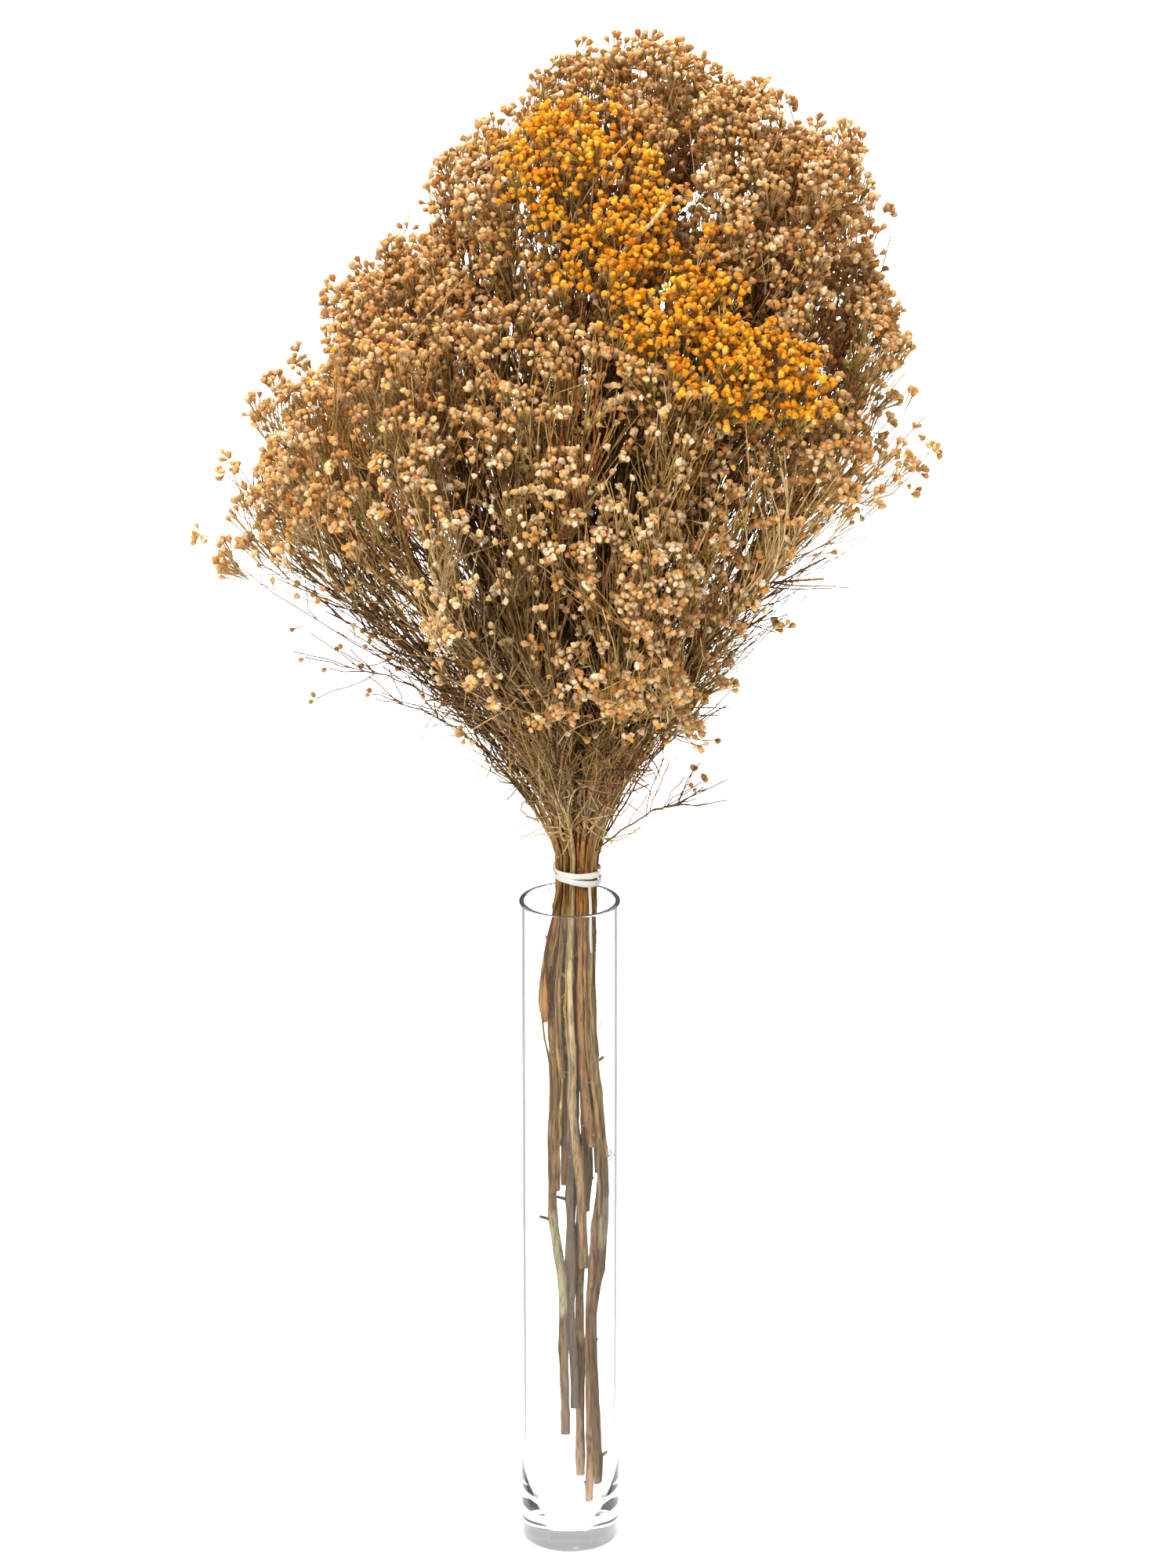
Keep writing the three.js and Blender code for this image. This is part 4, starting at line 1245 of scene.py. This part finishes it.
# The vase is a straight glass cylinder with a thick floor, whose wall thickens towards the floor.
vase = {
    "radius": 29, "height": 401, "wall": 3.0, "floor": 13, "footRound": 3, "innerRound": (9, 42), "lip": 0.7,
    "sides": 112, "wallRings": 6, "near": 0.3,
    "foot": [(0.4, 0.35), (22, 0.0)], "floorMiddle": [(9, 12.7), (0.4, 12.5)],
}


def arc(x, y, wide, high, start, end, steps):
    return [(x + wide * math.cos(a), y + high * math.sin(a)) for a in np.linspace(start, end, steps)]


# Radii and heights of the glass, up the outside and down the inside.
# Rings near the bends keep the long walls straight in their shading.
def vaseProfile():
    radius, floor, foot, lip, near = [vase[key] for key in ("radius", "floor", "footRound", "lip", "near")]
    inside = radius - vase["wall"]
    high = vase["height"] - lip
    quarter = math.pi / 2
    wide, tall = vase["innerRound"]
    profile = vase["foot"] + [(radius - foot - near, 0.0)]
    profile += arc(radius - foot, foot, foot, foot, -quarter, 0, 9)
    profile += [(radius, z) for z in np.linspace(foot + near, high - near, vase["wallRings"])]
    profile += arc(radius - lip, high, lip, lip, 0, quarter, 6)
    profile += arc(inside + lip, high, lip, lip, quarter, math.pi, 6)
    profile += [(inside, z) for z in np.linspace(high - near, floor + tall + near, vase["wallRings"])]
    profile += arc(inside - wide, floor + tall, wide, -tall, 0, quarter, 16)
    return np.array(profile + vase["floorMiddle"])


def makeVase():
    profile = vaseProfile()
    sides = vase["sides"]
    angles = 2 * np.pi * np.arange(sides) / sides
    radii, heights = profile[:, :1], np.repeat(profile[:, 1:], sides, axis=1)
    corners = np.stack([radii * np.cos(angles), radii * np.sin(angles), heights], -1).reshape(-1, 3)
    last = len(corners) - sides
    faces = [wallFaces(len(profile), sides), np.arange(sides)[::-1][None], (last + np.arange(sides))[None]]
    return makeObject("vase", [corners], faces, None, clearGlass)


# Clear soda-lime glass with a faint grey-green body and a trace of haze: a bright middle and grey edge lines.
clearGlass = finishMaterial(newMaterial("clear soda glass, plain refraction"), {
    "Base Color": "#f6faf9", "Roughness": 0.0, "IOR": 1.52, "Transmission Weight": 0.99,
    "Specular Tint": (0.6, 0.6, 0.6, 1.0),
})
vasePiece = makeVase()
vasePiece.visible_shadow = False  # daylight reaches the stems through the glass
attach(vasePiece, "root")
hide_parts("vase")
print("vase made")

# The tie is a white band wound twice, with a tail.
tie = {
    "inner": 12.75, "thickness": 0.85, "width": 3.5, "offset": 1.95, "tilts": (0.03, 0.15), "steps": 96,
    "uneven": [(7, 0.12, 1), (11, 0.1, 2)], "rise": (3, 0.2), "widths": (5, 0.07),
    "tailWidth": 1.6, "tailThickness": 0.6, "tailLength": 42, "tailAngle": 0.54, "tailOff": 2.2,
    "tailSteps": 25, "tailSway": (3.2, 1.2), "tailTwist": (4, 0.5),
    "section": [(-1, -0.6), (-0.8, -1), (0.8, -1), (1, -0.6), (1, 0.6), (0.8, 1), (-0.8, 1), (-1, 0.6)],
}


# White elastic band: a satin strip with fine ribs.
def elasticBand():
    material = newMaterial("white elastic band, fine ribs by noise")
    place = addNode(material, "TexCoord")
    ribs = addNode(material, "TexNoise", {"Scale": 800.0, "Detail": 2.0}, {"Vector": (place, "Object")})
    bump = addNode(material, "Bump", {"Strength": 0.3, "Distance": 0.0002}, {"Height": (ribs, "Fac")})
    return finishMaterial(material, {"Base Color": "#e0e0dd", "Roughness": 0.45}, {"Normal": (bump, "Normal")})


# A flat strip through points, thick along the given ways; closed ones join up.
def addStrip(pile, points, ways, width, thickness, closed):
    along = np.gradient(points, axis=0)
    if closed:
        along = np.roll(points, -1, axis=0) - np.roll(points, 1, axis=0)
    ways = unit(ways)
    wide = unit(np.cross(unit(along), ways)) * np.reshape(width, (-1, 1)) / 2
    rings = np.stack([points + wide * w + ways * (h * thickness / 2) for w, h in tie["section"]], 1)
    sides = len(tie["section"])
    steps = len(points)
    faces = [wallFaces(steps + closed, sides) % (steps * sides)]
    if not closed:
        faces += [np.arange(sides)[::-1][None], ((steps - 1) * sides + np.arange(sides))[None]]
    pile.add(rings, faces, np.zeros(4))


def makeTie():
    pile = Pile()
    middle = tie["inner"] + tie["thickness"] / 2
    angles = 2 * np.pi * np.arange(tie["steps"]) / tie["steps"]
    ways = np.stack([np.cos(angles), np.sin(angles), 0 * angles], -1)
    waves, amount = tie["rise"]
    widthWaves, widthAmount = tie["widths"]
    for turn, tilt in enumerate(tie["tilts"]):
        out = middle + sum(size * np.sin(rate * angles + shift * turn) for rate, size, shift in tie["uneven"])
        points = out[:, None] * ways + bunch["tie"]
        rise = tie["offset"] * (1 if turn == 0 else -1) + amount * np.sin(waves * angles + turn)
        points[:, 2] += rise - out * np.cos(angles) * math.sin(tilt)
        width = tie["width"] * (1 + widthAmount * np.sin(widthWaves * angles + turn))
        addStrip(pile, points, ways, width, tie["thickness"], True)
    share = np.linspace(0, 1, tie["tailSteps"])
    way = np.array([math.sin(tie["tailAngle"]), -math.cos(tie["tailAngle"]), 0.0])
    side = np.array([way[1], -way[0], 0.0])
    out = middle + tie["tailOff"] * ramp(2 * share)
    down = tie["offset"] + tie["tailLength"] * share
    waves, amount = tie["tailSway"]
    points = bunch["tie"] + way * out[:, None] - upward * down[:, None]
    points = points + side * (amount * np.sin(waves * share) * share)[:, None]
    waves, amount = tie["tailTwist"]
    twist = amount * np.sin(waves * share)[:, None]
    ways = way * np.cos(twist) + side * np.sin(twist)
    addStrip(pile, points, ways, tie["tailWidth"], tie["tailThickness"], False)
    return pile.make("tie", elasticBand())


tiePiece = makeTie()
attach(tiePiece, "root")
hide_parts("tie")
print("tie made")

# Stage, lamps, cards and camera are in metres.
stage = {"floorSize": 30.0, "sky": 0.27}
camera = {"place": (0.0105, -3.2655, 1.6402), "down": 19.7, "lens": 140.45, "sensor": 36, "farthest": 60}
# Each lamp: place, aim, size, watts and colour. Those over the floor behind keep the background white.
lamps = {
    "key": ((-1.3, -2.0, 2.6), (0, 0, 0.5), 1.0, 78.0, "#fff6ea"),
    "front": ((-0.5, -3.2, 0.9), (0, 0, 0.45), 0.8, 17.0, "#fffaf2"),
    "fill": ((1.9, -1.9, 1.5), (0, 0, 0.45), 1.6, 12.0, "#ffffff"),
    "top": ((0.0, 0.4, 3.2), (0, 0.4, 0.0), 1.6, 70.0, "#ffffff"),
    "backLow": ((0.0, 2.6, 3.4), (0, 2.6, 0.0), 3.0, 200.0, "#ffffff"),
    "backHigh": ((0.0, 5.4, 4.0), (0, 5.4, 0.0), 4.0, 420.0, "#ffffff"),
}
# Cards seen only in and through the glass, with their glow: a pale wall, and others that draw its edges.
cards = {
    "wall": ([(-12.0, 6.0, 0.0), (12.0, 6.0, 0.0), (12.0, 6.0, 3.6), (-12.0, 6.0, 3.6)], 0.4),
    "leftCard": ([(-0.62, -1.2, 0.0), (-0.62, 1.6, 0.0), (-0.62, 1.6, 1.3), (-0.62, -1.2, 1.3)], 0.4),
    "rightCard": ([(0.64, -1.2, 0.0), (0.64, 1.6, 0.0), (0.64, 1.6, 1.3), (0.64, -1.2, 1.3)], 0.4),
    "leftEdge": ([(-0.62, -1.2, 0.001), (-0.07, -1.2, 0.001), (-0.07, 0.0, 0.001), (-0.62, 1.2, 0.001)], 0.5),
    "rightEdge": ([(0.08, -1.2, 0.001), (0.64, -1.2, 0.001), (0.64, 1.2, 0.001), (0.08, 0.0, 0.001)], 0.5),
}


# A stage piece of one face, from its four corners.
def makePlane(name, corners, material):
    corners = np.array(corners, float) * 1000
    plane = makeObject(name, [corners], [np.array([[0, 1, 2, 3]])], None, material, smooth=False)
    return plane


def makeCard(name, corners, glow):
    material = finishMaterial(newMaterial("plain studio card " + name), {
        "Base Color": "#101010", "Roughness": 0.9, "Specular IOR Level": 0.0,
        "Emission Color": "#ffffff", "Emission Strength": glow,
    })
    card = makePlane(name, corners, material)
    card.visible_camera = False
    card.visible_diffuse = False
    card.visible_shadow = False


def makeFloor():
    look = {"Base Color": "#fbfbfb", "Roughness": 0.85, "Specular IOR Level": 0.2}
    material = finishMaterial(newMaterial("white studio floor, plain matte"), look)
    half = stage["floorSize"] / 2
    makePlane("floor", [(-half, -half, 0), (half, -half, 0), (half, half, 0), (-half, half, 0)], material)


def addLight(name, place, aim, size, watts, colour):
    lamp = bpy.data.lights.new(name, "AREA")
    lamp.shape = "DISK"
    lamp.size = size
    lamp.energy = watts
    lamp.color = linear(colour)[:3]
    made = bpy.data.objects.new(name, lamp)
    bpy.context.collection.objects.link(made)
    made.location = place
    x, y, z = np.array(aim) - np.array(place)
    made.rotation_euler = (math.atan2(z, math.hypot(x, y)) + math.pi / 2, 0, math.atan2(-x, y))
    made.visible_glossy = name != "front"


def makeCamera():
    lens = bpy.data.cameras.new("camera")
    lens.sensor_width = camera["sensor"]
    lens.lens = camera["lens"]
    lens.clip_end = camera["farthest"]
    made = bpy.data.objects.new("camera", lens)
    bpy.context.collection.objects.link(made)
    made.location = camera["place"]
    made.rotation_euler = (math.radians(90 - camera["down"]), 0, 0)
    bpy.context.scene.camera = made


makeFloor()
for name, card in cards.items():
    makeCard(name, *card)
for name, lamp in lamps.items():
    addLight(name, *lamp)
makeCamera()
world = bpy.data.worlds.new("soft white room")
world.use_nodes = True
world.node_tree.nodes["Background"].inputs["Color"].default_value = linear("#ffffff")
world.node_tree.nodes["Background"].inputs["Strength"].default_value = stage["sky"]
scene = bpy.context.scene
scene.world = world
scene.view_settings.view_transform = "Standard"
print("stage made")
